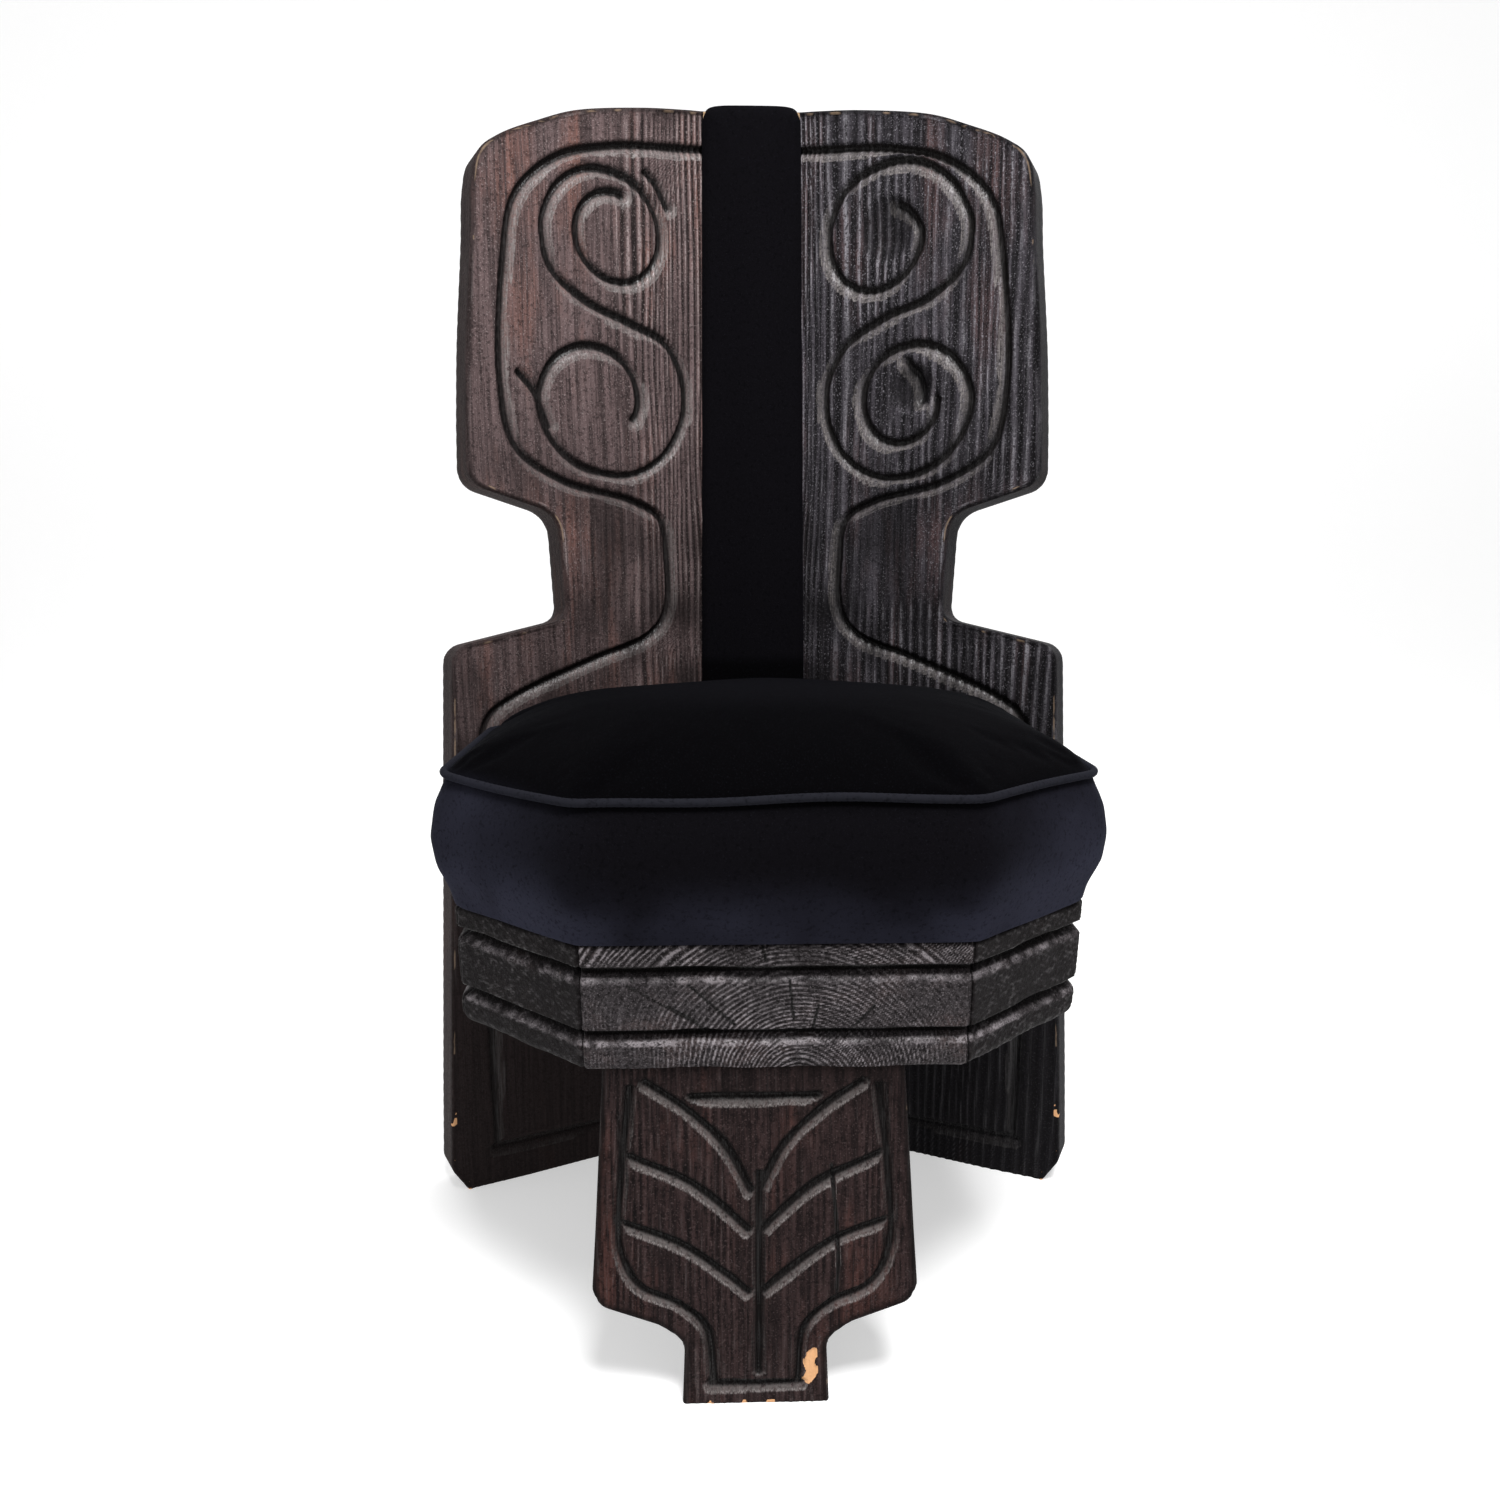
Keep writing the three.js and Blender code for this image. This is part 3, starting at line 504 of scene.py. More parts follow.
def board_rows(outline, tallest=2.2, longest=4.0):
    """Points of an outline that climb by at most `tallest` and lie at most `longest` apart."""
    fine = even(outline, 0.25)
    move = np.abs(np.diff(fine, axis=0))
    cost = np.maximum(move[:, 1] / tallest, np.linalg.norm(move, axis=1) / longest)
    along = np.concatenate([[0], np.cumsum(cost)])
    places = np.linspace(0, along[-1], int(along[-1]) + 2)
    return np.stack([np.interp(places, along, fine[:, k]) for k in (0, 1)], axis=1)


def edge_round(gap, radius):
    """How far a rounded edge has dropped at a distance in from the outline: a quarter circle."""
    inside = np.clip(radius - gap, 0, radius)
    return radius - np.sqrt(np.maximum(radius**2 - inside**2, 0))


def carved_board(left, right, heights, thickness, outline, relief, count=FRONT_COLUMNS, radius=3.2):
    """A closed stack of sections. left and right are each row's edges, in millimetres; relief(x, z,
    gap) gives the depth taken off the front and the named attributes there, gap being the distance
    to the outline."""
    front_x = columns_between(left, right, count)
    back_x = left[:, None] + (right - left)[:, None] * np.linspace(1, 0, BACK_COLUMNS)
    front_z, back_z = (np.broadcast_to(heights[:, None], grid.shape) for grid in (front_x, back_x))
    gap = away(front_x, front_z, outline)
    taken, marks = relief(front_x, front_z, gap)
    front_y = edge_round(gap, radius) + taken * step(gap, 0.5, 4.0)
    back_y = thickness - edge_round(away(back_x, back_z, outline), BACK_RADIUS)
    share = np.arange(1, SIDE_COLUMNS + 1) / (SIDE_COLUMNS + 1)
    side_y = np.tile(radius + (thickness - 2 * radius) * share, (len(heights), 1))
    right_x, left_x = (np.repeat(edge[:, None], SIDE_COLUMNS, 1) for edge in (right, left))
    x = np.concatenate([front_x, right_x, back_x, left_x], axis=1)
    y = np.concatenate([front_y, side_y, back_y, side_y[:, ::-1]], axis=1)
    places = np.stack([x, y, np.repeat(heights[:, None], x.shape[1], axis=1)], axis=-1)
    return places, {key: around(value, x.shape, BEYOND.get(key, 0.0)) for key, value in marks.items()}


def around(front, shape, elsewhere):
    """An attribute known on the front, and its one value round the rest of the section."""
    full = np.full(shape, elsewhere)
    full[:, :front.shape[1]] = front
    return full


print("points round a section", FRONT_COLUMNS + 2 * SIDE_COLUMNS + BACK_COLUMNS)

# %% [markdown]
# ## From sections to a piece
# The sections become one closed mesh that carries its attributes. A finished piece then takes its
# material, rides with the one rigid body, and stands for the nodes of the frame that it details.

# %% Skin and finish
def stack_faces(rows, columns):
    """The faces of a closed stack: quads between its rows, and one face over each end."""
    faces = grid_faces(rows, columns, closed_columns=True).tolist()
    return faces + [list(range(columns))[::-1], list(range((rows - 1) * columns, rows * columns))]


def skin(name, sections, grain, marks, flip=False):
    """Makes the stack of sections a closed mesh that carries its attributes."""
    faces = stack_faces(*sections.shape[:2])
    if flip:
        faces = [face[::-1] for face in faces]
    made = add_mesh(name, sections.reshape(-1, 3) * MM, faces)
    for end in (-1, -2):
        made.data.polygons[end].use_smooth = False
    vector = made.data.attributes.new("grain", "FLOAT_VECTOR", "POINT")
    vector.data.foreach_set("vector", (grain.reshape(-1, 3) * MM).astype(np.float32).ravel())
    for key, value in marks.items():
        attribute = made.data.attributes.new(key, "FLOAT", "POINT")
        attribute.data.foreach_set("value", value.astype(np.float32).ravel())
    return made


def finish_piece(made, material, body_slot, *nodes):
    """Gives a finished piece its material, its body and the nodes it stands for. body_slot is not used."""
    made.data.materials.append(material)
    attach(made, "root")
    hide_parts(*nodes)
    print(made.name, "triangles", sum(len(face.vertices) - 2 for face in made.data.polygons))


# %% [markdown]
# ## The lines of the carving
# A gouge leaves a V. Where two cuts meet, the deeper one wins. Grain relief is a row of ridges about
# five millimetres apart that wander slowly along the board.

# %% Gouge and grain
GOUGE_HALF, GOUGE_DEPTH, MEAN_RIDGE = 5.6, 5.2, 0.42


def gouged(x, z, lines, ramp):
    """Three things at each point: how deep it lies in the nearest gouged line, 1 at its bottom and 0
    outside it; which way its wall faces, 1 on the long ramp and 0 on the steep wall; and the
    shallow second stroke of the knife along the ramp's far edge. The V leans: it is wide towards
    the ramp's direction and narrow on the other side, with hand-made unevenness."""
    flat = np.stack([x.ravel(), z.ravel()], axis=1)
    offset = nearest(flat, np.concatenate(lines))
    gap = np.linalg.norm(offset, axis=1).reshape(x.shape)
    facing = (offset @ np.array(ramp)).reshape(x.shape) / np.maximum(gap, 0.3)
    width = GOUGE_HALF * (1 + 0.5 * facing + 0.16 * noise(x / 23, z / 23, 5))
    stroke = np.clip(1 - np.abs(gap - 1.08 * width) / 1.3, 0, 1) * step(facing, 0.0, 0.5)
    stroke = stroke * step(noise(x / 30, z / 30, 14), -0.5, 0.1)
    return np.clip(1 - gap / width, 0, 1), 0.5 + 0.5 * facing, stroke


def grain_ridges(x, z, pitch, seed):
    """From 0 in the hollows to 1 on the hard lines: a sine of the wandering place across the board,
    its pitch varied by noise and its crests sharpened."""
    wander = x + 7 * noise(x / 70, z / 220, seed) + 2.4 * noise(x / 25, z / 80, seed + 1)
    phase = wander / pitch + 1.5 * noise(wander / 34, z / 900, seed + 2)
    crest = 0.5 + 0.5 * np.sin(2 * np.pi * phase)
    return crest**1.7


def spiral(centre, stations):
    """Points on a spiral through (degrees, radius) stations, the radius even between them."""
    angles, radii = np.array(stations, float).T
    order = np.linspace(0, len(stations) - 1, 8 * len(stations))
    angle = np.radians(np.interp(order, np.arange(len(stations)), angles))
    radius = np.interp(order, np.arange(len(stations)), radii)
    points = np.stack([radius * np.cos(angle), radius * np.sin(angle)], axis=1) + centre
    return points.tolist()


print("a full turn of spiral has", len(spiral((0, 0), [(0, 10), (360, 20)])), "points")

# %% [markdown]
# ## The two planks
# These are the same sizes as in the frame, in millimetres: u runs outwards along a plank from where
# the two faces would meet, z up it. The foot is sawn level with the floor, although the plank leans.

# %% Sizes of the back
APEX_Y, ANGLE, RECLINE = 105.0, math.radians(26.2), math.radians(4.7)
LEG_FOOT_Y, LEG_X, LEG_RAKE = -309.0, -11.0, math.radians(9.8)
SHIFT_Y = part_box("front_leg")[0].y / MM - LEG_FOOT_Y
TOP, START, THICK = 922.0, 30.0, 36.0
BODY, NECK, SHOULDER, FOOT = 263.0, 182.0, 283.0, 312.0
LEVELLED = 90.0
plank_edge = rounded([
    (FOOT - 15, 0, 0), (FOOT - 1, 20, 10), (SHOULDER, 478, 18), (NECK, 502, 14), (NECK + 4, 590, 24),
    (BODY, 611, 18), (BODY - 2, 660, 0),
])
plank_head = smooth_line([
    (BODY - 2, 660), (BODY - 6, 720), (BODY - 14, 800), (BODY - 17, TOP - 85), (BODY - 23, TOP - 64),
    (BODY - 40, TOP - 50), (NECK + 8, TOP - 34), (NECK - 22, TOP - 22), (102, TOP - 9.5),
    (64, TOP - 4), (START, TOP),
])
whole_edge = np.concatenate([plank_edge, plank_head])


def on_plank(places, sign):
    """From a plank's own (u, w, z), w behind its face, to the chair's frame: turn by the plank's
    angle, lean by the recline, then move to the apex. Low down it is sheared to keep its foot level."""
    u, w, z = places[..., 0], places[..., 1], places[..., 2]
    across = u * math.cos(ANGLE) + w * math.sin(ANGLE)
    deep = w * math.cos(ANGLE) - u * math.sin(ANGLE)
    z = z + deep * math.tan(RECLINE) * np.clip(1 - z / LEVELLED, 0, 1)
    y = APEX_Y + deep * math.cos(RECLINE) + z * math.sin(RECLINE) + SHIFT_Y
    return np.stack([sign * across, y, z * math.cos(RECLINE) - deep * math.sin(RECLINE)], axis=-1)


print("plank outline", len(whole_edge), "points, shifted back by", round(SHIFT_Y, 2), "mm")

# %% [markdown]
# ## What is carved on the planks
# A border line follows the outline, and inside it a stem curls into one scroll above and one below.
# The two planks mirror each other only roughly, as hand work does: the right scrolls wind tighter and
# end in dished eyes. The small ticks are where the knife ran past a curve.

# %% Lines on the planks
border = [
    (START + 8, 893), (132, 880), (BODY - 85, 864), (BODY - 51, 833), (BODY - 38, 780), (BODY - 32, 690),
    (BODY - 42, 642), (NECK - 1, 617), (NECK - 64, 604), (NECK - 90, 590), (NECK - 96, 560),
    (NECK - 94, 510), (NECK - 75, 488), (NECK - 32, 472), (NECK + 18, 452), (SHOULDER - 48, 436),
    (SHOULDER - 27, 420), (SHOULDER - 18, 385), (FOOT - 45, 230), (FOOT - 44, 33),
]
foot_line = [(FOOT - 40, 33), (START + 30, 33)]
scroll = {
    "left": [
        *spiral((129, 815), [(465, 31), (360, 33), (270, 36), (180, 41), (90, 46), (0, 62)]),
        (185, 783), (156, 761), (117, 748), (84, 735), (69, 712),
        *spiral((146, 683), [(180, 79), (270, 57), (360, 53), (450, 43), (540, 36), (560, 33)]),
    ],
    "right": [
        *spiral((115, 815), [(410, 31), (360, 40), (270, 40), (180, 41), (90, 53), (0, 82)]),
        (191, 786), (163, 764), (126, 753), (89, 733), (73, 706),
        *spiral((142, 684), [(180, 70), (270, 61), (360, 60), (450, 44), (540, 35), (720, 31)]),
    ],
}
tick = {
    "left": [[(216, 700), (203, 686), (192, 660)], [(80, 842), (90, 858), (99, 866)]],
    "right": [[(146, 716), (158, 700), (160, 684)]],
}
dish = {"left": [], "right": [(125, 820, 27, 6.0), (150, 694, 21, 6.0)]}
print("scroll points", {side: len(line) for side, line in scroll.items()})

# %% [markdown]
# ## Carving and burning the planks
# The left plank was scraped smooth away from the middle, so its grain stands proud only there; the
# right one keeps its ridges all over. Below the seat the planks are painted dark as shadow, and they are
# made darker at the neck and along the edge.

# %% Planks
def plank_grain(side, u, z):
    """Raised grain: on the left plank proud only near the centre, on the right one all over, but
    for a smooth field at the neck."""
    if side == "left":
        ridges, strength = grain_ridges(u, z, 5.8, 11), 0.35 + 0.75 * (1 - step(u, 95, 150))
    else:
        ridges, strength = grain_ridges(u, z, 8.6, 31), 0.9 + 0.25 * step(u, 140, 200)
        strength = strength * (1 - 0.85 * step(u, 98, 112) * step(z, 505, 525) * (1 - step(z, 578, 600)))
    strength = strength * (0.75 + 0.35 * noise(u / 40, z / 160, 3))
    return MEAN_RIDGE + (ridges - MEAN_RIDGE) * strength + 0.1 * noise(u / 2.5, z / 14, 33)


def plank_soot_and_shade(side, u, z, gap):
    """Blackest below the seat, where it is painted shadow, then darker round the neck and along the plank's
    edge.
    """
    # Below the seat the darkening is painted shadow; at the neck and at the edge it is only made darker.
    seat_shadow = 1 - step(z, 260, 400)
    at_neck = (1 - step(z, 560, 680)) * (0.55 + 0.45 * noise(u / 24, z / 30, 17))
    at_edge = 0.8 * (1 - step(gap, 1.8, 4.6))
    return np.maximum(np.maximum(seat_shadow, at_edge), at_neck)


def plank_wear(u, z, gap):
    """Rubbed spots just inside the edge, and bare chips on it low down."""
    rub = step(gap, 0.6, 1.6) * (1 - step(gap, 2.6, 4.6))
    rub = rub * step(noise(u / 11, z / 34, 21) + 0.3 * noise(u / 3, z / 5, 24), 0.05, 0.7)
    chips = (1 - step(gap, 2, 7)) * step(noise(u / 4, z / 6, 22) + 0.5 * noise(u / 3, z / 3, 25), 0.5, 0.58)
    return rub, chips * (1 - step(z, 60, 170)) * (u > 200)


def plank(side, sign, material):
    """One carved plank, its relief the sum of gouged lines, dished scroll ends and raised grain."""
    edge = board_rows(whole_edge)
    edge = edge[edge[:, 0] > START + 3]
    outer, heights = edge[:, 0], edge[:, 1]
    lines = [smooth_line(line) for line in [border, foot_line, scroll[side], *tick[side]]]

    def relief(u, z, gap):
        cut, facing, stroke = gouged(u, z, lines, (-0.6, -0.8))
        polished = step(gap, 1.0, 2.2) * (1 - step(gap, 3.4, 5.2)) * step(noise(u / 9, z / 40, 27), -0.3, 0.5)
        ridges = np.maximum(plank_grain(side, u, z), 0.85 * polished)
        taken = cut * GOUGE_DEPTH + 0.8 * stroke + 1.2 * (1 - ridges)
        taken = taken + 0.6 * (1 + noise(u / 60, z / 110, 8))
        soot_and_shade = plank_soot_and_shade(side, u, z, gap)
        for centre_u, centre_z, radius, depth in dish[side]:
            bowl = np.clip(1 - ((u - centre_u) ** 2 + (z - centre_z) ** 2) / radius**2, 0, 1)
            taken = taken + depth * bowl * (1 + 0.25 * noise(u / 9, z / 9, 4))
            # The dish's hollow is painted darker as shade.
            soot_and_shade = np.maximum(soot_and_shade, step(bowl, 0.0, 0.5) * 0.75)
        rub, chips = plank_wear(u, z, gap)
        return taken, {
            "ridge": ridges, "carved": np.maximum(cut, 0.62 * stroke), "facing": facing,
            "worn": 0.56 * rub, "raw": chips, "soot_and_shade": soot_and_shade,
        }

    inner = np.full(len(edge), START)
    places, marks = carved_board(inner, outer, heights, THICK, even(whole_edge, 1.0), relief)
    made = skin(f"carved_plank_{side}", on_plank(places, sign), places, marks, flip=sign < 0)
    finish_piece(made, material, "charred_wood", f"back_plank_{side}")


plank("left", -1, left_wood)
plank("right", 1, right_wood)

# %% [markdown]
# ## The front leg
# The leg is one more carved board: a leaf with a midrib, six veins and a rolled border, on a narrow
# foot. Its outline is the same on both sides, and it rakes backwards, so both its ends are sawn level.

# %% The leg
LEG_HEAD, LEG_WIDE, LEG_FOOT, LEG_THICK = 101.0, 112.0, 50.0, 38.0
SEAT_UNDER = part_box("seat_timber_centre")[0].z / MM
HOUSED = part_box("front_leg")[1].z / MM
leg_length = HOUSED / math.cos(LEG_RAKE)
SAWN_LOW, SAWN_HIGH = 40.0, 200.0
leg_edge = rounded([
    (LEG_FOOT + 1, 0, 0), (LEG_FOOT - 1, 46, 14), (66, 58, 16), (LEG_WIDE - 6, 72, 12),
    (LEG_WIDE, 84, 12), (LEG_WIDE - 3, 125, 60), (LEG_HEAD, leg_length, 0),
])
leaf = [
    [(LEG_HEAD - 17, 227), (LEG_WIDE - 21, 165), (LEG_WIDE - 20, 112), (LEG_WIDE - 32, 88),
     (LEG_FOOT + 2, 74), (LEG_FOOT - 16, 56), (LEG_FOOT - 21, 16)],
    [(LEG_WIDE - 39, 231), (45, 212), (20, 187), (3, 155)],
    [(LEG_WIDE - 28, 180), (42, 160), (15, 137), (5, 127)],
    [(LEG_WIDE - 24, 133), (50, 117), (15, 91), (5, 82)],
]
middle_lines = [[(3, 167), (2, 23)], [(-42, 221), (42, 221)], [(-31, 15), (31, 15)]]
mirrored = [[(sign * x, z) for x, z in line] for line in leaf for sign in (1, -1)]
leg_lines = [smooth_line(line) for line in mirrored + middle_lines]
leg_check = smooth_line([(52, 172), (55, 140), (57, 110), (56, 80)])
leg_chip = smooth_line([(36, 17), (39, 22), (37, 28), (40, 35)])


def on_leg(places):
    """From the leg's own (x, w, z) to the chair's frame: shear both ends level, rake, and move to
    the foot."""
    x, w, z = places[..., 0], places[..., 1], places[..., 2]
    near_foot = np.clip(1 - z / SAWN_LOW, 0, 1)
    near_head = np.clip((z - SAWN_HIGH) / (leg_length - SAWN_HIGH), 0, 1)
    z = z + w * math.tan(LEG_RAKE) * (near_foot + near_head)
    y = LEG_FOOT_Y + SHIFT_Y + w * math.cos(LEG_RAKE) + z * math.sin(LEG_RAKE)
    return np.stack([x + LEG_X, y, z * math.cos(LEG_RAKE) - w * math.sin(LEG_RAKE)], axis=-1)


def leg_relief(x, z, gap):
    """Gouged lines, raised grain, the check down its right half and the bare chip at its foot."""
    cut, facing, stroke = gouged(x, z, leg_lines, (0.0, -1.0))
    proud = 0.4 + 0.4 * noise(x / 30, z / 120, 6)
    ridges = MEAN_RIDGE + (grain_ridges(x, z, 4.6, 51) - MEAN_RIDGE) * proud
    ridges = ridges + 0.2 * noise(x / 2.5, z / 9, 35) + 0.22 * (1 - step(z, 25, 70))
    split = np.clip(1 - away(x, z, leg_check) / 1.6, 0, 1)
    bare = 1 - step(away(x, z, leg_chip) + 1.1 * noise(x / 3, z / 3, 9), 3.3, 4.0)
    foot_chips = (1 - step(z, 2.2, 3.4)) * step(noise(x / 4, z / 4, 12), 0.35, 0.5)
    rub = (1 - step(gap, 1.0, 2.8)) * step(noise(x / 6, z / 14, 23), 0.55, 0.9)
    taken = cut * GOUGE_DEPTH + (1 - ridges) * 0.8 + 2.0 * split + 1.2 * bare
    taken = taken + 0.5 * (1 + noise(x / 22, z / 22, 7))
    # The top of the leg is painted darker as shadow under the seat; its edges are made darker too.
    return taken, {
        "ridge": ridges, "carved": np.maximum(cut, split), "facing": facing * (split == 0),
        "raw": np.maximum(bare, foot_chips * 0.9), "worn": 0.5 * rub,
        "soot_and_shade": np.maximum(0.5 * step(z, 195, 240), 0.85 * (1 - step(gap, 2.0, 6.5))),
    }


def front_leg():
    """The leg's sections reach equally far to both sides."""
    edge = board_rows(leg_edge, 1.5, 3.0)
    half, heights = edge[:, 0], edge[:, 1]
    right_side = even(leg_edge, 1.0)
    outline = np.concatenate([right_side, right_side * [-1, 1]])
    places, marks = carved_board(-half, half, heights, LEG_THICK, outline, leg_relief, 150, 4.5)
    made = skin("carved_front_leg", on_leg(places), places, marks)
    finish_piece(made, leg_wood, "charred_wood", "front_leg")


front_leg()

# %% [markdown]
# ## The seat's rim
# The seat is a thick slab of three timbers. Two grooves run round its rim and leave three bands. The
# bands' upper arrises are rubbed and carry a painted highlight where they catch the light, and the
# grooves' upper walls are painted dark as shade. In front the centre timber shows its end grain: rings
# round a heart that lies just below the slab, with drying checks that point at it.

# %% Rim profile and end grain
SEAT_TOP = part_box("seat_timber_centre")[1].z / MM
SEAT_THICK = SEAT_TOP - SEAT_UNDER
SEAT_X, FRONT_HALF, SIDE_HALF, FRONT_Y, CORNER_Y = 4.0, 128.0, 227.0, -271.0, -180.0
GROOVES = (26.0, SEAT_THICK - 19.0)
HEART = (15.0, -7.0)


def rim_depth(z):
    """How far the rim is drawn in at a height: a rolled lower edge, then under each groove a sloping
    shelf that is steep at its inner end, and a short undercut wall above it."""
    depth = edge_round(z, 9.0) * 0.9 + edge_round(SEAT_THICK - z, 3.0)
    for groove in GROOVES:
        shelf = step(z, groove - 8.5, groove + 1.5) ** 1.3
        depth = depth + 9.0 * shelf * (1 - step(z, groove + 2.2, groove + 4.6))
    return depth


def rings(x, z):
    """0 to 1 across the year rings: a sine of the distance from the heart, which noise bends, with
    spacing that widens and narrows from year to year."""
    radius = np.hypot((x - HEART[0]) * (1 + 0.1 * noise(x / 60, z / 60, 2)), (z - HEART[1]) * 1.08)
    radius = radius + 1.1 * noise(x / 26, z / 26, 41) + 0.3 * noise(x / 6, z / 6, 42)
    phase = radius / 3.3 + 0.9 * noise(radius / 11, radius * 0, 43)
    clear = 1 - 0.75 * step(radius, 55, 125) * (1 - step(z, 72, 78))
    return 0.5 + (0.5 * np.sin(2 * np.pi * phase) + 0.25 * noise(x / 2.2, z / 2.2, 44)) * clear


def check_lines():
    """Drying checks on the front: short lines that run away from the heart."""
    x, low, high = np.array([
        (-98, 30, 62), (-58, 34, 62), (-71, 36, 47), (8, 36, 64), (27, 30, 47), (-10, 78, 88), (64, 33, 46),
    ], float).T
    z = low + (high - low) * np.linspace(0, 1, 30)[:, None]
    x = HEART[0] + (x - HEART[0]) * (z - HEART[1]) / (high - HEART[1])
    return np.stack([x, z], axis=-1).reshape(-1, 2)


print("points on the checks", len(check_lines()))

# %% [markdown]
# ## The timbers
# Each timber is a stack of sections again: a plan polygon whose exposed sides are drawn in by the
# profile, while its glued and rear sides stay where the joints need them. A corner between an exposed
# side and a glued one slides along the glued one.

# %% Plan of a timber
def face_y(x, z):
    """The planks' front face at a distance from the chair's middle and a height."""
    return APEX_Y - abs(x) * math.tan(ANGLE) + z * math.tan(RECLINE)


def draw_in(corners, exposed):
    """For each corner, the move that shifts its exposed sides in by one millimetre and its hidden
    sides not at all: the solution of two equations, one for each side that meets there."""
    along = np.roll(corners, -1, axis=0) - corners
    inward = np.stack([-along[:, 1], along[:, 0]], axis=1) / np.linalg.norm(along, axis=1)[:, None]
    shown = np.array(exposed, float)
    walls = np.stack([np.roll(inward, 1, axis=0), inward], axis=1)
    return np.linalg.solve(walls, np.stack([np.roll(shown, 1), shown], axis=1)[..., None])[..., 0]


def rim_points(corners, rear, exposed):
    """Points round a plan polygon whose exposed sides come first. Columns: place, move per
    millimetre drawn in, lean with the planks (0 or 1), distance along the rim, number of the side."""
    ends = np.column_stack([corners, draw_in(corners, exposed), rear])
    pieces, run = [], 0.0
    for k, shown in enumerate(exposed):
        after = (k + 1) % len(corners)
        length = float(np.linalg.norm(corners[after] - corners[k]))
        share = np.linspace(0, 1, int(length / 1.25) if shown else 9)[:-1, None]
        mixed = ends[k] * (1 - share) + ends[after] * share
        pieces.append(np.column_stack([mixed, run + length * share * shown, np.full(len(share), k)]))
        run += length * shown
    return np.concatenate(pieces)


def on_rear(x):
    """A corner of the seat's plan that rests on the planks' faces."""
    return (x, face_y(x + SEAT_X, SEAT_UNDER) - 0.7)


print("rear corner of the seat", on_rear(SIDE_HALF))

# %% [markdown]
# ## Making the timbers
# The hidden sides follow the nearest point of the rim, so no section crosses itself. The side timbers
# show long grain that is rough and darkened, and their bands are rubbed like the centre's.

# %% Timbers
def end_grain(x, z, s):
    """Rings and drying checks for the centre timber's front."""
    return rings(x, z), np.clip(1 - away(x, z, check_lines()) / 1.2, 0, 1), 0.0


def side_grain(x, z, s):
    """Rough, darkened slanting grain for the side timbers."""
    growth = 0.3 + 0.35 * grain_ridges(z + 0.5 * s, s, 3.4, 71) + 0.5 * noise(s / 3, z / 2, 73)
    return growth, np.zeros_like(x), 0.95


def timber_depth(s, z, length, bends):
    """The rim's profile, rolled off at both ends and at each bend, and uneven as hand work is."""
    depth = rim_depth(z + 0.9 * noise(s / 38, 0 * s, 63)) + 0.7 * edge_round(np.minimum(s, length - s), 3.0)
    depth = depth + sum(edge_round(np.abs(s - bend), 5.0) for bend in bends)
    return depth + 0.65 * noise(s / 45, z / 60, 61) + 0.25 * noise(s / 9, z / 9, 62)


def timber(place, corners, rear, exposed, surface):
    """One timber of the seat. corners run anticlockwise in the seat's own plan; rear says which of
    them lie on the planks and so lean with them; surface gives the growth, the checks and the soot."""
    points = rim_points(np.array(corners, float), rear, exposed)
    side, shown = points[:, 6], points[:, 6] < sum(exposed)
    heights = np.concatenate([[0], np.arange(0.6, SEAT_THICK, 1.15), [SEAT_THICK]])
    x, s, z = np.broadcast_arrays(points[:, 0], points[:, 5], heights[:, None])
    bends = points[np.flatnonzero(np.diff(side[shown])) + 1, 5]
    growth, split, soot_and_shade = surface(x, z, s)
    depth = timber_depth(s, z, points[shown, 5].max(), bends)
    depth = np.maximum(depth + 0.45 * (1 - growth) + 1.5 * split, 0)
    # The hidden side after the rim follows the rim's last point, and the others its first.
    depth[:, side == sum(exposed)] = depth[:, [np.flatnonzero(shown)[-1]]]
    depth[:, side > sum(exposed)] = depth[:, :1]
    plan = points[:, 0:2] + points[:, 2:4] * depth[..., None]
    plan[..., 1] += points[:, 4] * z * math.tan(RECLINE)
    world = np.stack([plan[..., 0] + SEAT_X, plan[..., 1] + SHIFT_Y, z + SEAT_UNDER], axis=-1)
    # The grooves' upper walls are painted dark as shade, and each band's upper arris is rubbed and also
    # painted light through ridge as a highlight.
    in_groove = sum(step(z, at - 2.5, at + 1.5) * (1 - step(z, at + 3.2, at + 5.0)) for at in GROOVES)
    rub = 0
    for at in GROOVES:
        arris_rub_and_highlight = 1 - step(np.abs(z - at + 5.5), 1.2, 4.4)
        rub = rub + arris_rub_and_highlight * (0.75 + 0.35 * noise(s / 6 + at, z / 5, 66))
    marks = {
        "ridge": shown * np.maximum(growth, rub * 0.9),
        "carved": shown * np.maximum(in_groove, split * 0.9),
        "worn": shown * rub * step(noise(s / 7, z / 6, 64), 0.5, 0.9) * 0.5,
        "soot_and_shade": np.where(shown, np.clip(soot_and_shade - rub, 0, 1), 0.5),
    }
    made = skin(f"rim_timber_{place}", world, np.stack([plan[..., 0], z, plan[..., 1]], axis=-1), marks)
    finish_piece(made, seat_wood, "charred_wood", f"seat_timber_{place}")


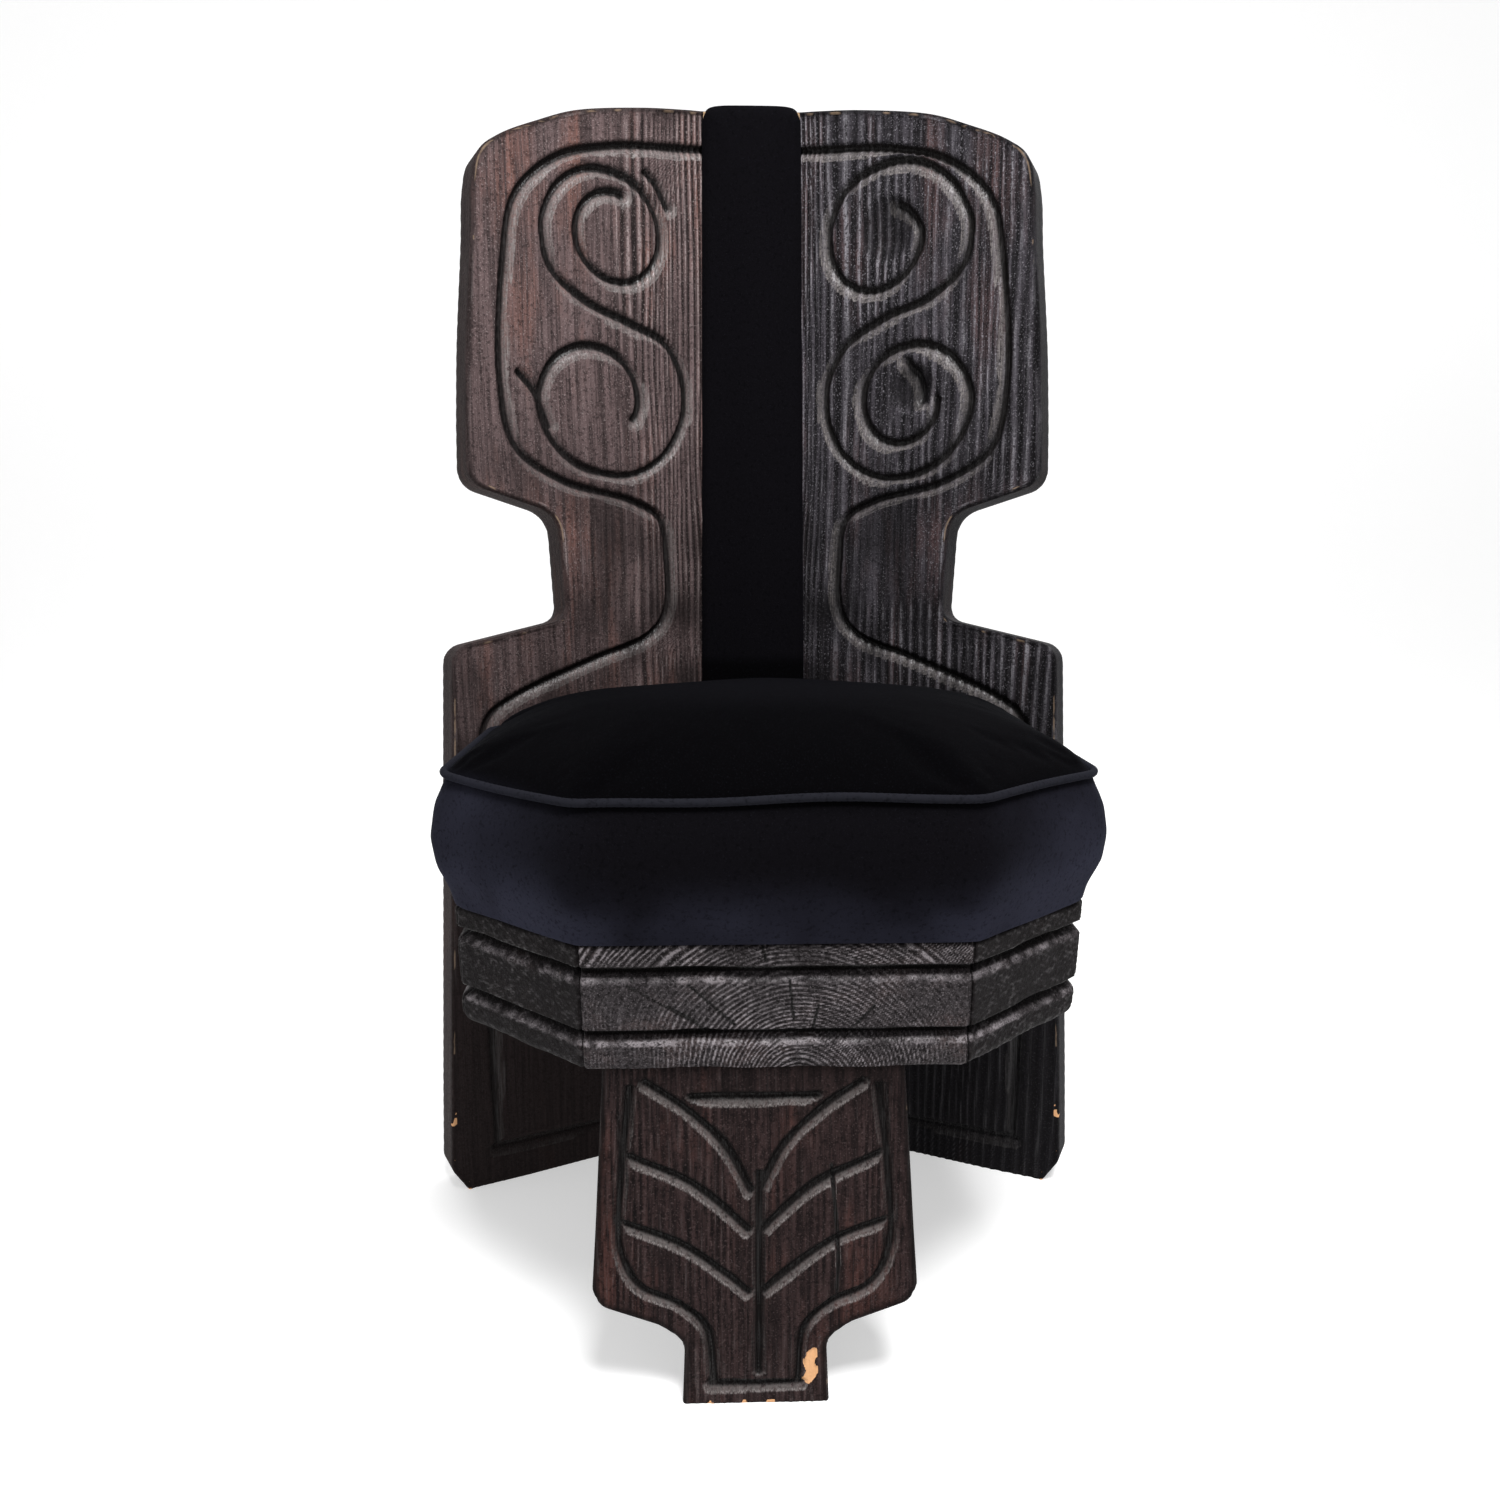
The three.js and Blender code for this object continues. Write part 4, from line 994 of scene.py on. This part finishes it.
joint = FRONT_HALF + 0.3
joint_y = FRONT_Y + 0.3 * (CORNER_Y - FRONT_Y) / (SIDE_HALF - FRONT_HALF)
timber(
    "centre",
    [
        (-FRONT_HALF, FRONT_Y), (FRONT_HALF, FRONT_Y),
        on_rear(FRONT_HALF), on_rear(-SEAT_X), on_rear(-FRONT_HALF),
    ],
    [0, 0, 1, 1, 1],
    [True, False, False, False, False],
    end_grain,
)
timber(
    "right",
    [(joint, joint_y), (SIDE_HALF, CORNER_Y), on_rear(SIDE_HALF), on_rear(joint)],
    [0, 0, 1, 1],
    [True, True, False, False],
    side_grain,
)
timber(
    "left",
    [on_rear(-SIDE_HALF), (-SIDE_HALF, CORNER_Y), (-joint, joint_y), on_rear(-joint)],
    [1, 0, 0, 1],
    [True, True, False, False],
    side_grain,
)

# %% [markdown]
# ## The velvet
# The cushion and the strip are near-black cotton velvet. A pile returns light at a glancing angle, which
# a sheen layer does. Low down and at the sides the colour is painted lighter and bluer as sheen, and on
# top it is painted darker as shade.

# %% Velvet, plywood, inner wood and steel
SEAM_Z = SEAT_TOP + 95.0


def velvet_paint(name, black, shaded_top_black):
    """Base colour: black, painted darker still on top as shade, and going to blue low down and at the sides
    as painted sheen.
    """
    paint = Paint(
        name, Roughness=1.0, Specular_IOR_Level=0.02,
        Sheen_Weight=0.012, Sheen_Roughness=0.35, Sheen_Tint=(0.5, 0.58, 0.8, 1),
    )
    seam, foot = SEAM_Z * MM, SEAT_TOP * MM
    place = paint.node("ShaderNodeTexCoord", output=3)
    sideways, height = paint.part(place, 0), paint.part(place, 2)
    across = sideways.math("ABSOLUTE", sideways)
    cloud = paint.noise(place, 9.0, 3.0, 0.55)
    pile = paint.noise(place, 900.0, 2.0, 0.7)
    grains = paint.noise(place, 330.0, 2.0, 0.7)
    brushed = paint.noise(paint.stretched(place, (60, 60, 22)), 1.0, 3.0, 0.6)
    # Painted sheen low down and at the sides, and painted shade on the top, in the base colour.
    beside = across.within(0.07, 0.25) * (1 - height.within(seam - 0.01, seam + 0.01))
    below = (1 - height.within(foot + 0.005, foot + 0.065)) * 0.75
    painted_sheen = (beside * 0.78 + below) * cloud.within(0.05, 0.7)
    top_shade = height.within(seam - 0.012, seam + 0.004) * (1 - height.within(seam + 0.04, seam + 0.055))
    deepest = paint.blend(top_shade, black, shaded_top_black)
    base = paint.blend(painted_sheen.within(0.0, 1.1), deepest, (0.021, 0.0217, 0.034))
    base = paint.blend(grains.within(0.5, 0.75) * 0.5, base, (0.0008, 0.0008, 0.001))
    base = paint.blend(pile.within(0.55, 0.8) * 0.22, base, (0.016, 0.017, 0.023))
    bumped = paint.bump(brushed, 0.0012, 0.3)
    paint.set(Base_Color=base, Normal=paint.bump(pile, 0.0005, 0.5, bumped))
    return paint.material


def layered_paint(name, low, high, scale, roughness, metallic=0.0):
    """Two tones mixed by noise that is stretched along the layers, with a fine bump."""
    paint = Paint(name, Metallic=metallic)
    place = paint.node("ShaderNodeTexCoord", output=3)
    tone = paint.noise(paint.stretched(place, scale), 1.0, 3.0, 0.6)
    speck = paint.noise(place, 700.0, 2.0, 0.6)
    base = paint.blend(tone.within(0.35, 0.7), low, high)
    paint.set(Base_Color=base, Roughness=speck * 0.15 + roughness, Normal=paint.bump(speck, 0.0003, 0.4))
    return paint.material


velvet = velvet_paint("black_velvet", (0.003, 0.0027, 0.0036), (0.0009, 0.0008, 0.0011))
# The welt's velvet is painted lighter than the cushion's: a painted highlight along the seam.
highlit_piping_velvet = velvet_paint("highlit_piping_velvet", (0.012, 0.0122, 0.016), (0.012, 0.0122, 0.016))
plywood = layered_paint("plywood", (0.23, 0.14, 0.07), (0.42, 0.28, 0.15), (20, 20, 900), 0.65)
inner_wood = layered_paint("inner_wood", (0.16, 0.09, 0.045), (0.3, 0.19, 0.1), (260, 260, 12), 0.6)
steel = layered_paint("zinc_steel", (0.32, 0.32, 0.31), (0.5, 0.49, 0.46), (300, 300, 300), 0.3, 1.0)
print("soft and small finishes ready")

# %% [markdown]
# ## The cushion
# A boxed cushion: a domed top and a bulging side band that meet in a piped seam, on a thin board. Its
# plan follows the seat's, with rounded corners, so one outline is moved in or out for each height.
# Points that would pass through the back are laid against it, as a real cushion flattens there.

# %% The cushion's outline
def offset_outline(corners, inwards, radii, steps=9):
    """A convex polygon, anticlockwise, with its sides moved in and its corners rounded."""
    moved = corners + draw_in(corners, [True] * len(corners)) * inwards
    loop = [(*point, radius) for point, radius in zip(moved, radii)]
    start = (*(moved[-1] + moved[0]) / 2, 0)
    return rounded([start, *loop, start], steps)


CUSHION_Z, CROWN_Z = SEAT_TOP + 0.3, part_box("cushion_top_panel")[1].z / MM
side_rear, middle_rear = (face_y(x, SEAT_TOP + 40) - 9 for x in (SIDE_HALF, 0))
cushion_plan = np.array([
    (-FRONT_HALF, FRONT_Y), (FRONT_HALF, FRONT_Y), (SIDE_HALF, CORNER_Y), (SIDE_HALF, side_rear),
    (0, middle_rear), (-SIDE_HALF, side_rear), (-SIDE_HALF, CORNER_Y),
])
cushion_radii = np.array([26, 26, 34, 22, 60, 22, 34], float)
strip_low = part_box("strip_cover")[0] / MM
SEAM_INSET = 5.5


def cushion_ring(inwards, z, count=220):
    """The cushion's outline at a height, moved in by a distance, as evenly spaced points."""
    closed = even(offset_outline(cushion_plan, inwards - 5, cushion_radii * (1 - max(inwards, 0) / 175)), 0.5)
    ring = closed[np.linspace(0, len(closed) - 1, count + 1).astype(int)[:-1]]
    return np.column_stack([ring[:, 0] + SEAT_X, ring[:, 1] + SHIFT_Y, np.full(count, z)])


def against_back(points, gap=1.6):
    """Points that lie behind the planks' faces, or in the middle behind the strip's, are laid on
    them."""
    x, y, z = points.T
    planks = face_y(x, z) + SHIFT_Y - gap / math.cos(ANGLE)
    strip = strip_low.y + (z - strip_low.z) * math.tan(RECLINE) - gap
    beside_strip = step(np.abs(x), 50, 62)
    return np.stack([x, np.minimum(y, np.minimum(planks, strip + 60 * beside_strip)), z], axis=1)


print("seam of the cushion", len(cushion_ring(0, SEAM_Z)), "points round, crown", round(CROWN_Z), "mm up")

# %% [markdown]
# ## Soft bodies
# A body is lofted a little small, given an even skin by a voxel remesh where it needs one, and blown
# up by a short cloth simulation. That holds the places that are sewn or glued down, so the velvet
# swells between them as stuffed fabric does. A cap on the movement keeps it within its frame.

# %% Loft and inflate
def loft(name, loops):
    """A closed body through rings of equally many points, from the lowest up."""
    return add_mesh(name, np.concatenate(loops) * MM, stack_faces(len(loops), len(loops[0])))


def read_points(made):
    """The places of an object's points, in millimetres."""
    points = np.empty(len(made.data.vertices) * 3, np.float32)
    made.data.vertices.foreach_get("co", points)
    return points.reshape(-1, 3).astype(float) / MM


def write_points(made, points):
    """Puts the points back."""
    made.data.vertices.foreach_set("co", (points * MM).astype(np.float32).ravel())
    made.data.update()


def bake(made):
    """Puts what the modifiers make into the object's own mesh."""
    mesh = bpy.data.meshes.new_from_object(made.evaluated_get(bpy.context.evaluated_depsgraph_get()))
    made.modifiers.clear()
    made.data = mesh


def remesh(made, voxel):
    """Even square faces, for the cloth to bend as it likes."""
    modifier = made.modifiers.new("even_skin", "REMESH")
    modifier.mode = "VOXEL"
    modifier.voxel_size = voxel * MM
    bake(made)


def subdivide(made):
    """Each face in four, on a smooth surface."""
    made.modifiers.new("finer", "SUBSURF").levels = 1
    bake(made)
    made.data.polygons.foreach_set("use_smooth", np.full(len(made.data.polygons), True))


def inflate(made, held, pressure, cap, frames=20):
    """A cloth simulation with air inside: held(points) says which points are sewn or glued down.
    No point moves further than the cap."""
    before = read_points(made)
    group = made.vertex_groups.new(name="held")
    group.add(np.flatnonzero(held(before)).tolist(), 1.0, "REPLACE")
    cloth = made.modifiers.new("cloth", "CLOTH")
    wanted = {
        "quality": 5, "mass": 0.3, "tension_stiffness": 16, "compression_stiffness": 12,
        "bending_stiffness": 1.2, "vertex_group_mass": "held",
        "use_pressure": True, "uniform_pressure_force": pressure,
    }
    for key, value in wanted.items():
        setattr(cloth.settings, key, value)
    cloth.settings.effector_weights.gravity = 0
    cloth.point_cache.frame_start = 1
    cloth.point_cache.frame_end = frames
    for number in range(1, frames + 1):
        bpy.context.scene.frame_set(number)
    bake(made)
    bpy.context.scene.frame_set(1)
    made.vertex_groups.clear()
    move = read_points(made) - before
    reach = np.linalg.norm(move, axis=1)
    print(made.name, "moved by at most", round(float(reach.max()), 1), "mm")
    write_points(made, before + move * np.minimum(1, cap / np.maximum(reach, 1e-6))[:, None])


# %% [markdown]
# ## The cushion's body
# The foam, its boxing and its top panel make one soft body: a side band that bulges, and a dome above
# the seam. Along the front the seam wanders a little. The body rests on the seat, so its lowest points
# are laid level, and behind it lies against the planks and the strip.

# %% The cushion's body
def seam_height(x):
    """The seam dips and rises a little along the front, as a hand-sewn one does."""
    return SEAM_Z + 1.5 * np.sin(x / 62 + 0.6) + 0.8 * np.sin(x / 23)


def cushion_loops():
    """Rings up the side band, then over the dome: rise = sqrt(sin(t * 90 degrees)) of the crown."""
    band = [(4, -6), (3, 2), (1, 12), (-6.5, 30), (-8.5, 50), (-4.5, 72), (3, 88)]
    loops = [cushion_ring(inwards, CUSHION_Z + z) for inwards, z in band]
    loops.append(cushion_ring(SEAM_INSET, SEAM_Z))
    for t in (0.05, 0.14, 0.26, 0.42, 0.6, 0.8, 1.0):
        rise = math.sqrt(math.sin(t * math.pi / 2)) * (CROWN_Z - SEAM_Z - 5)
        loops.append(cushion_ring(7 + t * 160, SEAM_Z + rise))
    loops = [against_back(ring) for ring in loops]
    for ring in loops:
        lift = np.clip(1 - np.abs(ring[:, 2] - SEAM_Z) / 45, 0, 1)
        ring[:, 2] += lift * (seam_height(ring[:, 0]) - SEAM_Z)
    return loops


def sewn(points):
    """The cushion is held at its seam and at its foot."""
    x, y, z = points.T
    at_rim = distance(points[:, :2], cushion_ring(SEAM_INSET, 0)[:, :2]) < 6
    return (np.abs(z - seam_height(x)) < 3.5) & at_rim | (z < CUSHION_Z + 5)


def level_base(made):
    """Nothing of the cushion goes below the seat's top."""
    x, y, z = read_points(made).T
    write_points(made, np.stack([x, y, np.maximum(z, CUSHION_Z)], axis=1))


cushion = loft("velvet_cushion", cushion_loops())
remesh(cushion, 5)
level_base(cushion)
inflate(cushion, sewn, 3.2, 22)
x, y, z = against_back(read_points(cushion)).T
write_points(cushion, np.stack([x, y, np.minimum(z, CROWN_Z + 6)], axis=1))
subdivide(cushion)
write_points(cushion, against_back(read_points(cushion), 1.2))
finish_piece(cushion, velvet, "velvet", "cushion_foam", "cushion_boxing", "cushion_top_panel")

# %% [markdown]
# ## The piped welt
# A cord wrapped in velvet is sewn into the seam, so the welt is a round section swept along it,
# pressed flat by a fraction at each stitch.

# %% Welt
STITCH = 4.5


def swept(name, route, radius, sides=12):
    """A closed tube along a closed route: at each point a circle in the plane that the outward
    normal and the vertical span, its radius pinched slightly by the stitches."""
    ahead = np.roll(route, -1, axis=0) - np.roll(route, 1, axis=0)
    ahead /= np.linalg.norm(ahead, axis=1)[:, None]
    out = np.stack([ahead[:, 1], -ahead[:, 0], np.zeros(len(route))], axis=1)
    out /= np.linalg.norm(out, axis=1)[:, None]
    up = np.cross(out, ahead)
    turn = np.linspace(0, 2 * np.pi, sides, endpoint=False)[:, None]
    along = np.concatenate([[0], np.cumsum(np.linalg.norm(np.diff(route, axis=0), axis=1))])
    size = radius * (1 - 0.035 * (1 + np.cos(2 * np.pi * along / STITCH)))[:, None, None]
    points = route[:, None] + size * (np.cos(turn) * out[:, None] + np.sin(turn) * up[:, None])
    faces = grid_faces(len(route) + 1, sides, closed_columns=True) % (len(route) * sides)
    return add_mesh(name, points.reshape(-1, 3) * MM, faces)


route = against_back(cushion_ring(3.6, SEAM_Z, 900), 5.5)
route[:, 2] = seam_height(route[:, 0])
welt = swept("velvet_welt", route, 2.9)
finish_piece(welt, highlit_piping_velvet, "velvet", "cushion_welt")

# %% [markdown]
# ## The strip
# The strip is a thin pad that narrows upwards between the planks. Its velvet wraps its edges, and its
# top corners are round. Its sections are drawn in the back's own frame, before the back leans.

# %% Strip
STRIP_TOP, STRIP_FOOT, STRIP_FRONT = 923.0, (SEAT_TOP + 1) / math.cos(RECLINE), 9.9
FOOT_HALF, TOP_HALF, HEAD_ROUND = 48.0, 41.0, 12.0


def strip_half(z):
    """Half the strip's width at a height."""
    return FOOT_HALF + (TOP_HALF - FOOT_HALF) * (z - STRIP_FOOT) / (STRIP_TOP - STRIP_FOOT)


def strip_sections():
    """Sections of the strip, each a closed loop of (x, y, z) in the back's frame: a crowned front
    between rounded sides, and a flat rear against the batten. The chord is where the strip's edges
    would meet the planks' faces."""
    turn = np.linspace(0, np.pi / 2, 10)[1:]
    straight = np.linspace(STRIP_FOOT, STRIP_TOP - HEAD_ROUND, 120)
    z = np.concatenate([straight, STRIP_TOP - HEAD_ROUND * (1 - np.sin(turn))])[:, None]
    share = np.linspace(-1, 1, 41)
    near_top = np.clip((z - STRIP_TOP) / HEAD_ROUND + 1, 0, 1)
    half = strip_half(z) + 0.9 - 9 * (1 - np.sqrt(1 - near_top**2))
    chord = -strip_half(z) * math.tan(ANGLE) - 0.3
    crown = (1 - np.abs(share) ** 7) * (0.86 + 0.14 * (1 - share**2)) * (1 - 0.55 * near_top**3)
    front = chord + 0.7 - (STRIP_FRONT - 1.5) * crown
    x = np.concatenate([share * half, share[::-1] * half], axis=1)
    y = np.concatenate([front, np.broadcast_to(chord + 1.2, front.shape)], axis=1)
    return np.stack([x, y, np.broadcast_to(z, x.shape)], axis=-1)


def from_back(points):
    """From the back's own frame to the chair's: lean back by the recline, then move to the apex."""
    x, y, z = points[..., 0], points[..., 1], points[..., 2]
    deep = APEX_Y + SHIFT_Y + y * math.cos(RECLINE) + z * math.sin(RECLINE)
    return np.stack([x, deep, z * math.cos(RECLINE) - y * math.sin(RECLINE)], axis=-1)


def glued(points):
    """The strip is held at its rear and at both sides."""
    x, y, z = points.T
    deep = y * math.cos(RECLINE) - z * math.sin(RECLINE)
    return (deep > deep.max() - 4.5) | (np.abs(x) > strip_half(z) - 4)


strip = loft("velvet_strip", from_back(strip_sections()))
inflate(strip, glued, 1.5, 4)
subdivide(strip)
finish_piece(strip, velvet, "velvet", "strip_cover", "strip_pad")

# %% [markdown]
# ## The pieces kept from the frame
# The post, the brace, the boards and the fixings keep the frame's own shapes. They lie behind or
# inside the chair; each gets the finish of its stock.

# %% Finishes for the kept pieces
def dress(material, *beginnings):
    """Gives every kept node whose name begins so its material."""
    kept = [thing for thing in bpy.data.objects if thing.name in frame["nodes"]]
    chosen = [thing for thing in kept if thing.name.startswith(beginnings)]
    for thing in chosen:
        if not thing.material_slots:
            thing.data.materials.append(material)
        for slot in thing.material_slots:
            slot.material = material
    print(material.name, len(chosen))


plugs = tuple(name for name in frame["nodes"] if name.endswith("_plug"))
screws = tuple(name for name in frame["nodes"] if "screw" in name or name.endswith("_lag"))
dress(frame_wood, "spine_post", *plugs)
dress(brace_wood, "leg_brace")
dress(plywood, "strip_batten", "cushion_board")
dress(inner_wood, "seat_dowel")
dress(steel, *screws)

# %% [markdown]
# ## Comparing the sizes
# The finished chair has to fill the same box as its frame, so both boxes are written side by side.

# %% Last lines
boxes = {"cad": cad_box, "visual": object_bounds()}
boxes = {name: [list(corner) for corner in box] for name, box in boxes.items()}
print("boxes", boxes)
